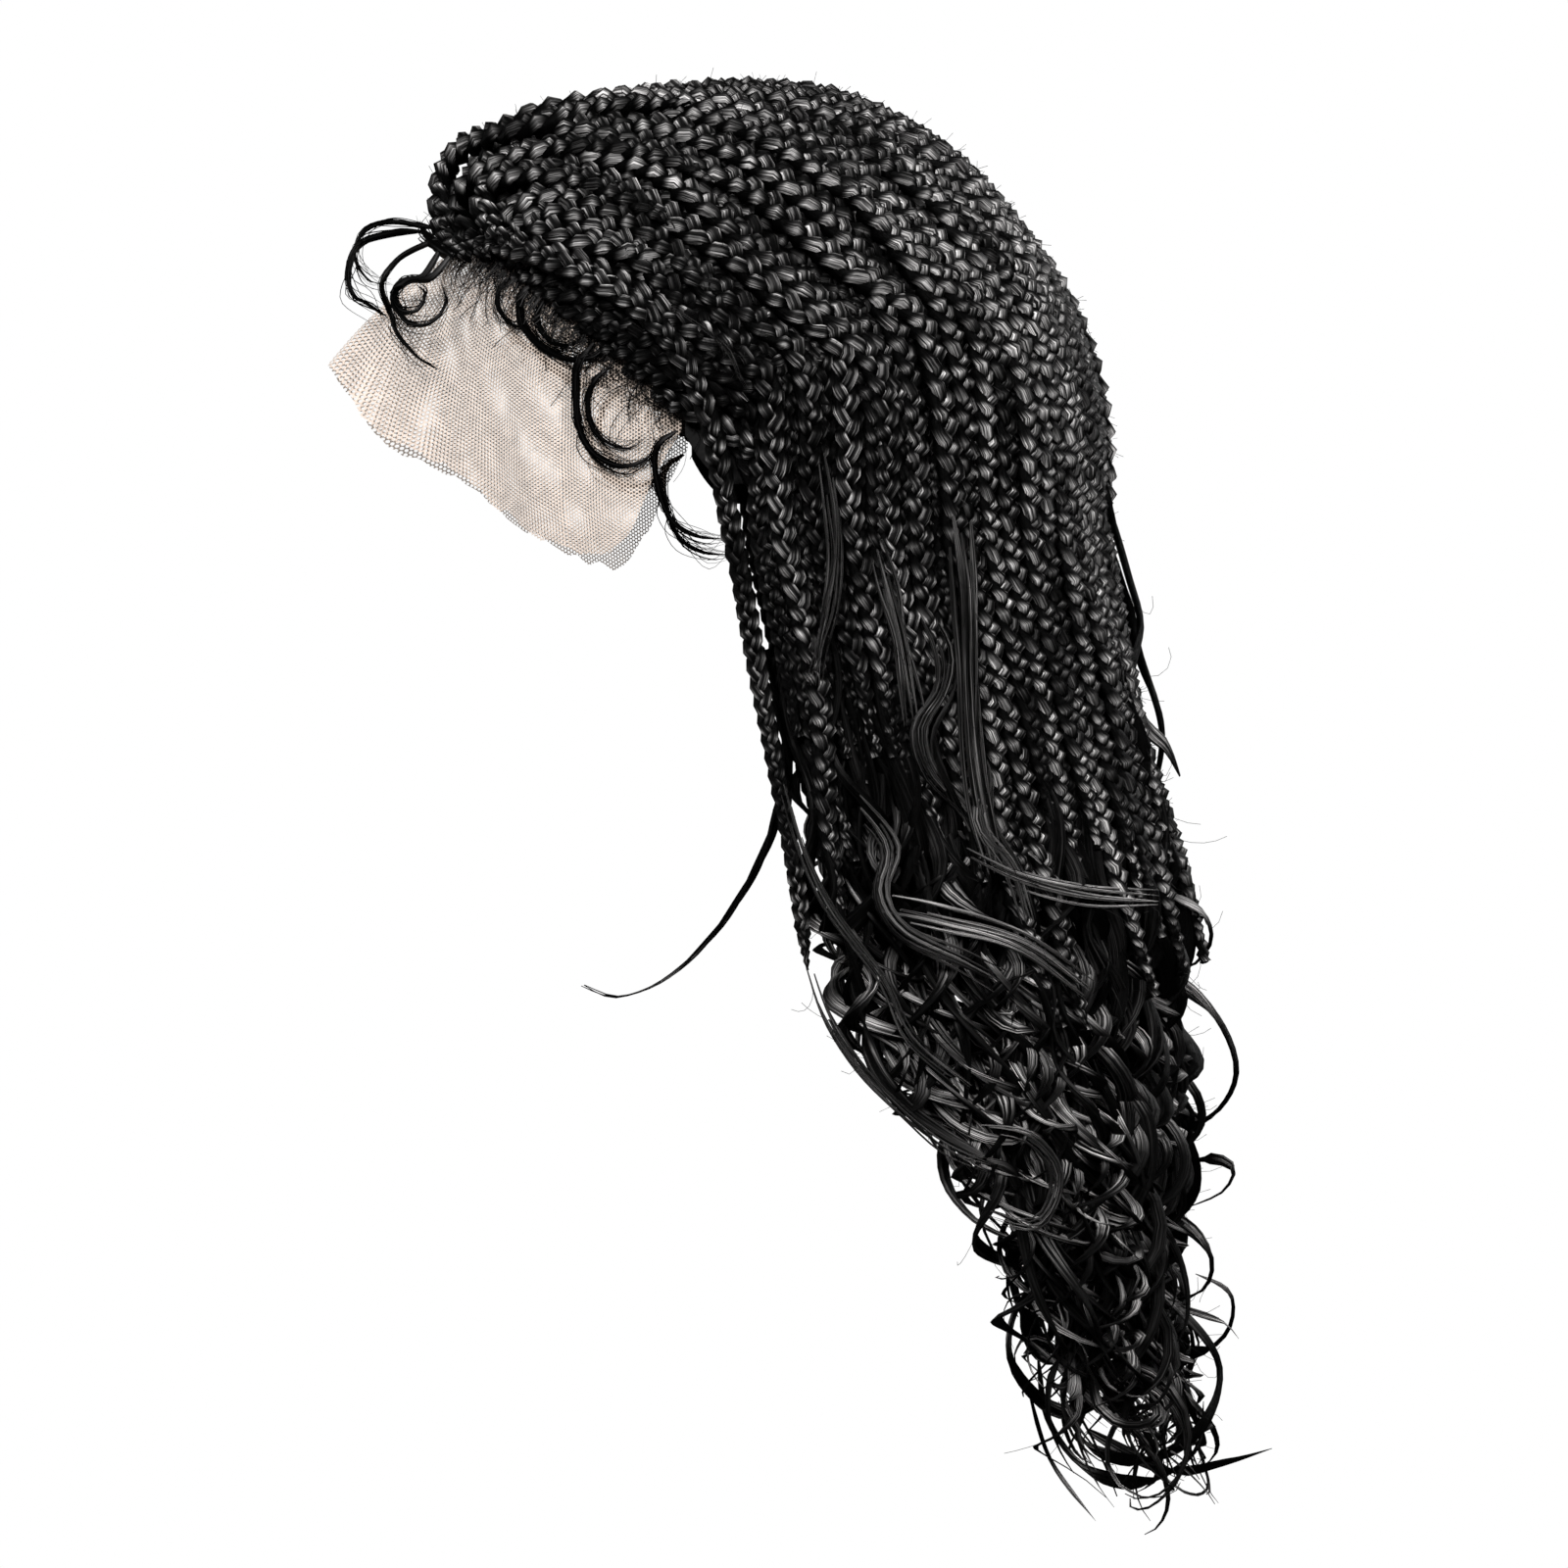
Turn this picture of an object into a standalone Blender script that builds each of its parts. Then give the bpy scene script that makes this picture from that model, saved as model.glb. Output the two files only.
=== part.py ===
"""Braid wig with a sheer lace front: a stretch cap, plaited locks and their loose curly ends.

Metres, +Z up. The face looks along -Y and the wearer's left is +X.
The origin is the crown of the head, where the inside of the cap rests on it.
"""

import math
from collections import namedtuple

import bmesh
import bpy
from mathutils import Vector

MM = 0.001

# Head that the cap fits
HEAD_HALF_WIDTH = 74 * MM
HEAD_HALF_LENGTH = 95 * MM
HEAD_HEIGHT = 98 * MM  # from the widest level up to the crown
BROW_FULLNESS = 2.5  # 2 is a true ellipse, more is squarer
NAPE_FULLNESS = 2.1

# Cap, lace and ear tabs
CAP_WALL = 1.5 * MM
LACE_WALL = 1.0 * MM
LACE_LIFT = 32 * MM  # how far the loose front edge stands off the forehead
TAB_WALL = 1.5 * MM
TAB_DROP = 14 * MM
SEAM_GAP = 0.6 * MM
HAIR_GAP = 2.2 * MM  # between cap and hair, so that flat faces of the hair clear the round cap
CAP_COLUMNS = 36
CAP_RINGS = 9
LACE_COLUMNS = 28
LACE_RINGS = 6
TAB_COLUMNS = 4
TAB_RINGS = 3

# Hair
BRAID_LAYER = 10.5 * MM  # braids on the crown, above the head
LEAST_LAYER = 3.5 * MM  # hair left over the cap where it is thinnest
HANG_LENGTH = 320 * MM  # from the ears down to the tips
FRONT_SWEEP = 108 * MM  # how far the front edge swings back on its way down
BACK_SWEEP = 50 * MM  # how far the back swings out
FLARE = 22 * MM  # how much wider each side gets
CURTAIN_WALL = 30 * MM
EAR_DROP = 10 * MM  # the hair leaves the head this far below its widest level
CURTAIN_SQUARENESS = 2.3
RIDGE_DEPTH = 2.6 * MM
LOCKS_IN_GROUP = 7
GROUP_GAP = 0.8 * MM
CURL_SWING = 7 * MM
CURL_PITCH = 2.6  # rows of the curtain for each wave
CURL_STEP = 0.5  # rows between the sections of a curl
TIP_SHARE = 0.3  # a tip's width, as a share of its lock
RAGGED_ROWS = 1.7  # how many rows shorter the shortest curl is

# Lock of the right side that hangs in front of the shoulder
FRONT_LOCK_RADIUS = 4 * MM

COLOURS = {
    "black_hair": ((0.012, 0.011, 0.011, 1), 0.42),
    "black_net": ((0.02, 0.018, 0.017, 1), 0.8),
    "tan_lace": ((0.52, 0.37, 0.26, 1), 0.75),
}

# Rim of the cap. turn: degrees round the head from the face; drop: below the crown, in head heights
RimPoint = namedtuple("RimPoint", "turn drop")
RIM = (
    RimPoint(0, 0.37),
    RimPoint(30, 0.47),
    RimPoint(50, 0.57),
    RimPoint(62, 0.69),
    RimPoint(72, 0.82),
    RimPoint(80, 0.95),
    RimPoint(88, 1.03),
    RimPoint(97, 1.12),
    RimPoint(110, 1.32),
    RimPoint(130, 1.50),
    RimPoint(150, 1.61),
    RimPoint(180, 1.64),
)

# Cut edge of the lace. lift: how far it stands off the head, in shares of LACE_LIFT
LacePoint = namedtuple("LacePoint", "turn drop lift")
LACE_EDGE = (
    LacePoint(0, 0.83, 1.0),
    LacePoint(12, 1.00, 0.62),
    LacePoint(24, 1.12, 0.14),
    LacePoint(38, 1.28, 0.0),
    LacePoint(55, 1.38, 0.0),
    LacePoint(62, 1.37, 0.0),
    LacePoint(67, 1.27, 0.0),
    LacePoint(78, 1.01, 0.0),
)

# Rows of hair over the head, from the hairline to the back. turn: degrees of the middle of the row, from
# the face over the crown; layer: hair above the head there, in BRAID_LAYERs; side_layer: the same at the
# temple; crowding: 1 spreads the locks evenly, more gathers them at the temple, less at the middle
CrownRow = namedtuple("CrownRow", "turn layer side_layer crowding")
CROWN_ROWS = (
    CrownRow(37.5, 0.50, 0.45, 0.80),
    CrownRow(43, 1.40, 0.60, 0.90),
    CrownRow(53, 1.60, 0.75, 1.00),
    CrownRow(67, 1.05, 0.85, 1.15),
    CrownRow(83, 1.10, 0.90, 1.20),
    CrownRow(99, 1.02, 0.95, 1.20),
    CrownRow(116, 0.95, 0.95, 1.20),
    CrownRow(136, 1.00, 0.95, 1.15),
    CrownRow(157, 1.05, 0.95, 1.10),
)
FRONT_EDGE_START = (-0.141, 0.02)  # where the front edge leaves the hairline: head half lengths, head heights

# Rows of the hanging hair. drop: in HANG_LENGTHs; front, back and flare: in FRONT_SWEEPs, BACK_SWEEPs and
# FLAREs; rise: how much higher the back of the row is, in HANG_LENGTHs; side_wall, back_wall: in CURTAIN_WALLs
HangRow = namedtuple("HangRow", "drop front back flare rise side_wall back_wall")
HANG_ROWS = (
    HangRow(0.000, 0.00, 0.00, 0.00, 0.020, 0.28, 0.45),
    HangRow(0.075, 0.06, 0.10, 0.05, 0.012, 0.36, 0.65),
    HangRow(0.170, 0.13, 0.21, 0.15, 0.010, 0.45, 0.80),
    HangRow(0.275, 0.19, 0.35, 0.30, 0.020, 0.55, 0.90),
    HangRow(0.380, 0.24, 0.49, 0.50, 0.030, 0.62, 0.95),
    HangRow(0.465, 0.29, 0.67, 0.70, 0.020, 0.70, 1.00),
    HangRow(0.560, 0.42, 0.81, 0.90, 0.018, 0.80, 1.00),
    HangRow(0.645, 0.61, 0.90, 1.00, 0.010, 0.88, 1.00),
    HangRow(0.735, 0.77, 0.86, 1.00, 0.000, 0.92, 1.00),
    HangRow(0.830, 0.83, 0.81, 0.90, 0.000, 0.88, 0.95),
    HangRow(0.915, 0.90, 0.86, 0.75, 0.000, 0.75, 0.85),
    HangRow(1.000, 0.98, 0.98, 0.60, 0.010, 0.60, 0.65),
)
BRAID_END_ROW = len(CROWN_ROWS) + 4  # the plaits come loose here
CURL_SPLIT_ROW = BRAID_END_ROW + 2  # below it every curl hangs by itself
LAST_ROW = len(CROWN_ROWS) + len(HANG_ROWS) - 1

# Centre line of the front lock, which leaves the right front edge for the shoulder. out: from the head's
# side, in FLAREs; ahead: off the front edge, in FRONT_SWEEPs; drop: below the ears, in HANG_LENGTHs
LockPoint = namedtuple("LockPoint", "out ahead drop")
FRONT_LOCK = (
    LockPoint(0.28, 0.000, 0.170),
    LockPoint(0.30, 0.000, 0.220),
    LockPoint(0.34, 0.000, 0.275),
    LockPoint(0.40, 0.053, 0.330),
    LockPoint(0.40, 0.138, 0.385),
    LockPoint(0.30, 0.296, 0.450),
    LockPoint(0.10, 0.503, 0.500),
    LockPoint(-0.05, 0.681, 0.520),
    LockPoint(-0.15, 0.768, 0.508),
)

# Groups of locks, from the left temple round the back to the right temple
GROUPS = ("temple_left", "side_left", "crown", "side_right", "temple_right")
LOCKS = LOCKS_IN_GROUP * len(GROUPS)

head_centre = Vector((0, 0, -HEAD_HEIGHT))


def blend(a, b, share):
    return a + (b - a) * share


def smooth(before, start, end, after, share):
    """Point of a smooth curve between start and end, for numbers and vectors."""
    square, cube = share * share, share**3
    return 0.5 * (
        2 * start
        + (end - before) * share
        + (2 * before - 5 * start + 4 * end - after) * square
        + (3 * start - before - 3 * end + after) * cube
    )


def read_table(table, column, turn):
    """Value of one column of a table of turns, read smoothly between its rows."""
    turn = abs(turn)
    values = [getattr(row, column) for row in table]
    for i in range(len(table) - 1):
        if turn <= table[i + 1].turn or i == len(table) - 2:
            share = (turn - table[i].turn) / (table[i + 1].turn - table[i].turn)
            before = values[i - 1] if i else values[1]
            after = values[min(i + 2, len(values) - 1)]
            return smooth(before, values[i], values[i + 1], after, min(share, 1))
    return values[-1]


def fullness_towards(across, along):
    """Squareness of the head's profile on a bearing: fuller at the brow than at the nape."""
    reach = math.hypot(across, along)
    brow_share = 0.5 if reach < 1e-9 else 0.5 - 0.5 * along / reach
    return blend(NAPE_FULLNESS, BROW_FULLNESS, brow_share)


def head_point(turn, drop, out):
    """Point on the head grown by out. turn is in degrees from the face; drop is below the crown, in head heights."""
    across, along = math.sin(math.radians(turn)), -math.cos(math.radians(turn))
    fullness = fullness_towards(across, along)
    height = 1 - drop
    girth = max(0.0, 1 - abs(height) ** fullness) ** (1 / fullness)
    reach = 1 / math.hypot(across / (HEAD_HALF_WIDTH + out), along / (HEAD_HALF_LENGTH + out))
    level = (HEAD_HEIGHT + out) * height
    return head_centre + Vector((across * reach * girth, along * reach * girth, level))


def head_reach(direction, out):
    """Distance from the head's centre to the head grown by out, in a unit direction."""
    level = math.hypot(direction.x, direction.y)
    fullness = fullness_towards(direction.x, direction.y)
    side = direction.x / (HEAD_HALF_WIDTH + out)
    front = direction.y / (HEAD_HALF_LENGTH + out)
    girth = math.hypot(side, front) if level > 1e-9 else 0
    return (girth**fullness + abs(direction.z / (HEAD_HEIGHT + out)) ** fullness) ** (-1 / fullness)


def clear_of_cap(point, out):
    """point, moved straight out from the head's centre until it clears the head grown by out."""
    offset = point - head_centre
    needed = head_reach(offset.normalized(), out)
    return point if offset.length >= needed else head_centre + offset.normalized() * needed


def new_object(name, mesh, material):
    thing = bpy.data.objects.new(name, mesh)
    thing.data.materials.append(material)
    bpy.context.scene.collection.objects.link(thing)
    return thing


def mesh_of(name, quads):
    """Closed mesh of four-cornered faces given by their points, with doubles merged and faces turned outwards."""
    made = bmesh.new()
    for quad in quads:
        made.faces.new([made.verts.new(point) for point in quad])
    bmesh.ops.remove_doubles(made, verts=made.verts, dist=1e-6)
    bmesh.ops.dissolve_degenerate(made, edges=made.edges, dist=1e-7)
    bmesh.ops.recalc_face_normals(made, faces=made.faces)
    mesh = bpy.data.meshes.new(name)
    made.to_mesh(mesh)
    made.free()
    return mesh


def sheet_quads(outer, inner, closed):
    """Faces of a wall between two grids of points. A closed grid joins its last column to its first."""
    columns, rings = len(outer), len(outer[0])
    quads = []
    for i in range(columns if closed else columns - 1):
        j = (i + 1) % columns
        for k in range(rings - 1):
            quads.append((outer[i][k], outer[i][k + 1], outer[j][k + 1], outer[j][k]))
            quads.append((inner[i][k], inner[j][k], inner[j][k + 1], inner[i][k + 1]))
        for k in (0, rings - 1):
            quads.append((outer[i][k], outer[j][k], inner[j][k], inner[i][k]))
    if not closed:
        for i in (0, columns - 1):
            for k in range(rings - 1):
                quads.append((outer[i][k], inner[i][k], inner[i][k + 1], outer[i][k + 1]))
    return quads


def rim_drop(turn):
    """How far below the crown the cap's faceted rim lies, in head heights."""
    step = 360 / CAP_COLUMNS
    first = math.floor(turn / step) * step
    ends = [read_table(RIM, "drop", facing) for facing in (first, first + step)]
    return blend(*ends, (turn - first) / step)


def cap_grid(out):
    """Columns of points from the crown down to the rim of the cap, on the head grown by out."""
    grid = []
    for i in range(CAP_COLUMNS):
        turn = 360 * i / CAP_COLUMNS
        facing = turn if turn <= 180 else turn - 360
        rim = read_table(RIM, "drop", facing)
        column = []
        for k in range(CAP_RINGS + 1):
            share = k / CAP_RINGS
            slope = share * math.acos(1 - rim)
            column.append(head_point(turn, 1 - math.cos(slope), out))
        grid.append(column)
    return grid


def make_cap(material):
    outer, inner = cap_grid(CAP_WALL), cap_grid(0)
    quads = sheet_quads(outer, inner, closed=True)
    crown_joins = [quad for quad in quads if (quad[0] - quad[1]).length < 1e-9 and (quad[2] - quad[3]).length < 1e-9]
    return new_object("cap", mesh_of("cap", [q for q in quads if q not in crown_joins]), material)


def lace_grid(out):
    """Columns of points from the cap's rim down to the lace's cut edge, on and off the forehead."""
    grid = []
    limit = LACE_EDGE[-1].turn
    for i in range(LACE_COLUMNS + 1):
        turn = blend(-limit, limit, i / LACE_COLUMNS)
        top = rim_drop(turn) + SEAM_GAP / HEAD_HEIGHT
        edge = read_table(LACE_EDGE, "drop", turn)
        lift = max(0.0, read_table(LACE_EDGE, "lift", turn)) * LACE_LIFT
        column = []
        for k in range(LACE_RINGS + 1):
            share = k / LACE_RINGS
            column.append(head_point(turn, blend(top, edge, share), out + lift * share**1.2))
        grid.append(column)
    return grid


def make_lace(material):
    quads = sheet_quads(lace_grid(LACE_WALL), lace_grid(0), closed=False)
    return new_object("lace_front", mesh_of("lace_front", quads), material)


def make_ear_tab(name, side, material):
    """Dark tab below the cap's rim in front of the ear. side is 1 on the left and -1 on the right."""
    first, last = LACE_EDGE[-1].turn + 2, 93
    grids = []
    for out in (TAB_WALL, 0):
        grid = []
        for i in range(TAB_COLUMNS + 1):
            share = i / TAB_COLUMNS
            turn = blend(first, last, share)
            top = rim_drop(turn) + SEAM_GAP / HEAD_HEIGHT
            reach = TAB_DROP / HEAD_HEIGHT * (0.35 + 0.65 * math.sin(math.pi * (0.15 + 0.7 * share)))
            rings = [top + reach * k / TAB_RINGS for k in range(TAB_RINGS + 1)]
            grid.append([head_point(side * turn, drop, out) for drop in rings])
        grids.append(grid)
    return new_object(name, mesh_of(name, sheet_quads(*grids, closed=False)), material)


def crown_row_points(row_index, u, side):
    """Outer and inner point of the hair over the head. u runs from the front edge (0) to the middle (1)."""
    row = CROWN_ROWS[row_index]
    share = row_index / len(CROWN_ROWS)
    edge_along = blend(FRONT_EDGE_START[0], 0, share) * HEAD_HALF_LENGTH
    edge_level = blend(FRONT_EDGE_START[1] * HEAD_HEIGHT, -EAR_DROP, share)
    edge = Vector((HEAD_HALF_WIDTH, edge_along, edge_level)).normalized()
    turn = math.radians(row.turn)
    middle = Vector((0, -math.cos(turn), math.sin(turn)))
    direction = edge.slerp(middle, u**row.crowding)
    direction.x *= side
    layer = BRAID_LAYER * blend(row.side_layer, row.layer, u)
    out = CAP_WALL + HAIR_GAP + max(layer, LEAST_LAYER)
    outer = head_centre + direction * head_reach(direction, out)
    inner = head_centre + direction * head_reach(direction, CAP_WALL + HAIR_GAP)
    return outer, inner


def hang_row_points(row, u, side):
    """Outer and inner point of a row of the hanging hair, a half oval that is open to the front."""
    level = -HEAD_HEIGHT - EAR_DROP - row.drop * HANG_LENGTH
    half_width = HEAD_HALF_WIDTH + BRAID_LAYER + row.flare * FLARE
    front = row.front * FRONT_SWEEP
    back = HEAD_HALF_LENGTH + 1.7 * BRAID_LAYER + row.back * BACK_SWEEP
    angle = u * math.pi / 2
    power = 2 / CURTAIN_SQUARENESS
    across, along = max(0.0, math.cos(angle)) ** power, math.sin(angle) ** power

    def place(side_wall, back_wall):
        return Vector(
            (
                side * across * (half_width - side_wall),
                front + (back - back_wall - front) * along,
                level + row.rise * HANG_LENGTH * along,
            )
        )

    inner = place(row.side_wall * CURTAIN_WALL, row.back_wall * CURTAIN_WALL)
    inner = clear_of_cap(inner, CAP_WALL + HAIR_GAP)
    return clear_of_cap(place(0, 0), CAP_WALL + HAIR_GAP + LEAST_LAYER), inner


def row_points(index, s):
    """Outer and inner point of a row at s, which runs from the left front edge (0) to the right one (1)."""
    u = 1 - abs(2 * s - 1)
    side = 1 if s <= 0.5 else -1
    if index < len(CROWN_ROWS):
        return crown_row_points(index, u, side)
    return hang_row_points(HANG_ROWS[index - len(CROWN_ROWS)], u, side)


def hair_points(row, s):
    """Outer and inner point of the hair at any row, whole or between two."""
    first = min(int(row), LAST_ROW - 1)
    around = [row_points(min(max(first + step, 0), LAST_ROW), s) for step in (-1, 0, 1, 2)]
    share = row - first
    return tuple(smooth(*(points[i] for points in around), share) for i in (0, 1))


def lock_ring(row, lock):
    """Six points round one lock: outer valley, two on its crest, outer valley, and the two inner corners."""
    ring = []
    for share, sunk in ((0, 1), (0.28, 0), (0.72, 0), (1, 1)):
        outer, inner = hair_points(row, (lock + share) / LOCKS)
        ring.append(outer + (inner - outer).normalized() * RIDGE_DEPTH * sunk)
    for share in (1, 0):
        ring.append(hair_points(row, (lock + share) / LOCKS)[1])
    return ring


def group_ring(row, first_lock):
    """Rings of the locks of one group at a row, drawn in at the group's two ends to leave the gap."""
    rings = [lock_ring(row, first_lock + i) for i in range(LOCKS_IN_GROUP)]
    for ring, ends in ((rings[0], ((0, 3), (5, 4))), (rings[-1], ((3, 0), (4, 5)))):
        for end, other in ends:
            ring[end] = ring[end] + (ring[other] - ring[end]).normalized() * GROUP_GAP / 2
    return rings


def fused_quads(rows, first_lock):
    """Faces of a group whose locks are fused side by side, without its first and last end."""
    stations = [group_ring(row, first_lock) for row in rows]
    quads = []
    for above, below in zip(stations, stations[1:]):
        for i in range(LOCKS_IN_GROUP):
            for a, b in ((0, 1), (1, 2), (2, 3), (4, 5)):
                quads.append((above[i][a], above[i][b], below[i][b], below[i][a]))
        for lock, a, b in ((0, 5, 0), (-1, 3, 4)):
            quads.append((above[lock][a], above[lock][b], below[lock][b], below[lock][a]))
    return quads, stations


def end_quads(rings):
    """Faces that close the end of a group: two for each lock."""
    quads = []
    for ring in rings:
        quads.append((ring[0], ring[1], ring[2], ring[3]))
        quads.append((ring[0], ring[3], ring[4], ring[5]))
    return quads


def ragged(lock):
    """How short a curl is, from 0 to 1, different for neighbours."""
    return 0.5 + 0.5 * math.sin(2.4 * lock + 0.6)


def curl_rings(lock, start_ring):
    """Rings of one loose curl from where it comes free down to its tip."""
    last = LAST_ROW - RAGGED_ROWS * ragged(lock)
    steps = math.ceil((last - CURL_SPLIT_ROW) / CURL_STEP)
    rings = [start_ring]
    for k in range(1, steps + 1):
        row = min(CURL_SPLIT_ROW + k * CURL_STEP, last)
        share = (row - CURL_SPLIT_ROW) / (last - CURL_SPLIT_ROW)
        ring = lock_ring(row, lock)
        crest = (ring[1] + ring[2]) / 2
        across = (ring[3] - ring[0]).normalized()
        inwards = (ring[5] - ring[0]).normalized()
        wave = 2 * math.pi * (row - CURL_SPLIT_ROW) / CURL_PITCH
        swing = CURL_SWING * min(1, 2 * share)
        shift = across * math.sin(wave) * swing + inwards * (1 - math.cos(wave)) * 0.3 * swing
        size = blend(0.86, TIP_SHARE, share**1.6)
        rings.append([crest + shift + (point - crest) * size for point in ring])
    return rings


def make_braids(group, first_lock, material):
    rows = range(BRAID_END_ROW + 1)
    quads, stations = fused_quads(rows, first_lock)
    quads += end_quads(stations[0]) + end_quads(stations[-1])
    name = f"braids_{group}"
    return new_object(name, mesh_of(name, quads), material)


def make_curls(group, first_lock, material):
    gap_in_rows = SEAM_GAP / (HANG_LENGTH * (HANG_ROWS[5].drop - HANG_ROWS[4].drop))
    rows = (BRAID_END_ROW + gap_in_rows, BRAID_END_ROW + 1, CURL_SPLIT_ROW)
    quads, stations = fused_quads(rows, first_lock)
    quads += end_quads(stations[0])
    for i in range(LOCKS_IN_GROUP):
        rings = curl_rings(first_lock + i, stations[-1][i])
        for above, below in zip(rings, rings[1:]):
            for a in range(6):
                b = (a + 1) % 6
                quads.append((above[a], above[b], below[b], below[a]))
        quads += end_quads([rings[-1]])
    name = f"curls_{group}"
    return new_object(name, mesh_of(name, quads), material)


def front_edge(drop):
    """How far back the front edge of the hanging hair is at a drop, in FRONT_SWEEPs."""
    for above, below in zip(HANG_ROWS, HANG_ROWS[1:]):
        if drop <= below.drop:
            return blend(above.front, below.front, (drop - above.drop) / (below.drop - above.drop))
    return HANG_ROWS[-1].front


def make_front_lock(material):
    """Loose lock of the right side that comes forward over the shoulder, a tapered tube."""
    curve = bpy.data.curves.new("front_lock_right", "CURVE")
    curve.dimensions = "3D"
    curve.bevel_depth = FRONT_LOCK_RADIUS
    curve.bevel_resolution = 1
    curve.use_fill_caps = True
    points = []
    for p in FRONT_LOCK:
        side = HEAD_HALF_WIDTH + p.out * FLARE
        along = (front_edge(p.drop) - p.ahead) * FRONT_SWEEP - FRONT_LOCK_RADIUS - SEAM_GAP
        level = -HEAD_HEIGHT - EAR_DROP - p.drop * HANG_LENGTH
        points.append(Vector((-side, along, level)))
    line = []
    steps = 3
    for i in range(len(points) - 1):
        before, after = points[max(i - 1, 0)], points[min(i + 2, len(points) - 1)]
        line += [smooth(before, points[i], points[i + 1], after, k / steps) for k in range(steps)]
    line.append(points[-1])
    spline = curve.splines.new("POLY")
    spline.points.add(len(line) - 1)
    for k, (target, point) in enumerate(zip(spline.points, line)):
        target.co = (*point, 1)
        target.radius = blend(1, TIP_SHARE, (k / (len(line) - 1)) ** 2)
    return new_object("front_lock_right", curve, material)


def make_material(name):
    colour, roughness = COLOURS[name]
    material = bpy.data.materials.new(name)
    material.use_nodes = True
    shader = material.node_tree.nodes["Principled BSDF"]
    shader.inputs["Base Color"].default_value = colour
    shader.inputs["Roughness"].default_value = roughness
    return material


def main():
    for thing in list(bpy.data.objects):
        bpy.data.objects.remove(thing)
    hair, net, lace = (make_material(name) for name in COLOURS)
    make_cap(net)
    make_lace(lace)
    make_ear_tab("ear_tab_left", 1, net)
    make_ear_tab("ear_tab_right", -1, net)
    for i, group in enumerate(GROUPS):
        make_braids(group, i * LOCKS_IN_GROUP, hair)
        make_curls(group, i * LOCKS_IN_GROUP, hair)
    make_front_lock(hair)


main()
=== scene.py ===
"""Braid wig: box braids with curly loose ends on a stretch cap with a sheer lace front."""

import math
import random
from collections import namedtuple

import bpy
import numpy as np
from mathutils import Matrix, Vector, noise
from mathutils.kdtree import KDTree


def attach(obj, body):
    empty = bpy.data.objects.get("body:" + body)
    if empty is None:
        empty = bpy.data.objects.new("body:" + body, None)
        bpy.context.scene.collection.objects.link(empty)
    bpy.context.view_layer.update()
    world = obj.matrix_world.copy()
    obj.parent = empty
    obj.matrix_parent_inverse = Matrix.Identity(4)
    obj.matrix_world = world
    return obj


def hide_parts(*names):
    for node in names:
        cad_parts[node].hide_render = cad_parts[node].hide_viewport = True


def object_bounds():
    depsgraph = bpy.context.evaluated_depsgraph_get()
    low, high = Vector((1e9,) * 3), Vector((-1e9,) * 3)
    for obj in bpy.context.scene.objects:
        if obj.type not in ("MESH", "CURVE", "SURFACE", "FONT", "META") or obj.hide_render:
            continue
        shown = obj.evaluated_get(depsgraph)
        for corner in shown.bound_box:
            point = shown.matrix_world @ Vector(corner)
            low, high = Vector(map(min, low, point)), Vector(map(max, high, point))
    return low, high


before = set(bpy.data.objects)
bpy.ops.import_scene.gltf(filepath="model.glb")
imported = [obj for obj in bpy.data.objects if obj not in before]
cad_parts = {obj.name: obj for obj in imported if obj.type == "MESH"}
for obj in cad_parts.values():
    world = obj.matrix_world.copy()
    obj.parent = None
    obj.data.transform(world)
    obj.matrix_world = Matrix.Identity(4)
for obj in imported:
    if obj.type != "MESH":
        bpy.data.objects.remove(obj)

MM = 0.001
cad_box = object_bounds()

# Head that the cap fits, and the hair over it, as in the frame
HEAD_HALF_WIDTH = 74 * MM
HEAD_HALF_LENGTH = 95 * MM
HEAD_HEIGHT = 98 * MM
BROW_FULLNESS = 2.5
NAPE_FULLNESS = 2.1
CAP_WALL = 1.5 * MM
HAIR_GAP = 2.2 * MM
BRAID_LAYER = 10.5 * MM
LEAST_LAYER = 3.5 * MM
HANG_LENGTH = 320 * MM
FRONT_SWEEP = 108 * MM
BACK_SWEEP = 50 * MM
FLARE = 22 * MM
CURTAIN_WALL = 30 * MM
EAR_DROP = 10 * MM
CURTAIN_SQUARENESS = 2.3
FRONT_EDGE_START = (-0.141, 0.02)

# Rows of the hair over the head: turn in degrees up and back from the face, layers in BRAID_LAYERs.
# A higher crowding draws a row's points towards the front edge
CrownRow = namedtuple("CrownRow", "turn layer side_layer crowding")
CROWN_ROWS = [CrownRow(*row) for row in (
    (37.5, 0.50, 0.45, 0.80),
    (43, 1.40, 0.60, 0.90),
    (53, 1.60, 0.75, 1.00),
    (67, 1.05, 0.85, 1.15),
    (83, 1.10, 0.90, 1.20),
    (99, 1.02, 0.95, 1.20),
    (116, 0.95, 0.95, 1.20),
    (136, 1.00, 0.95, 1.15),
    (157, 1.05, 0.95, 1.10),
)]

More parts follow.
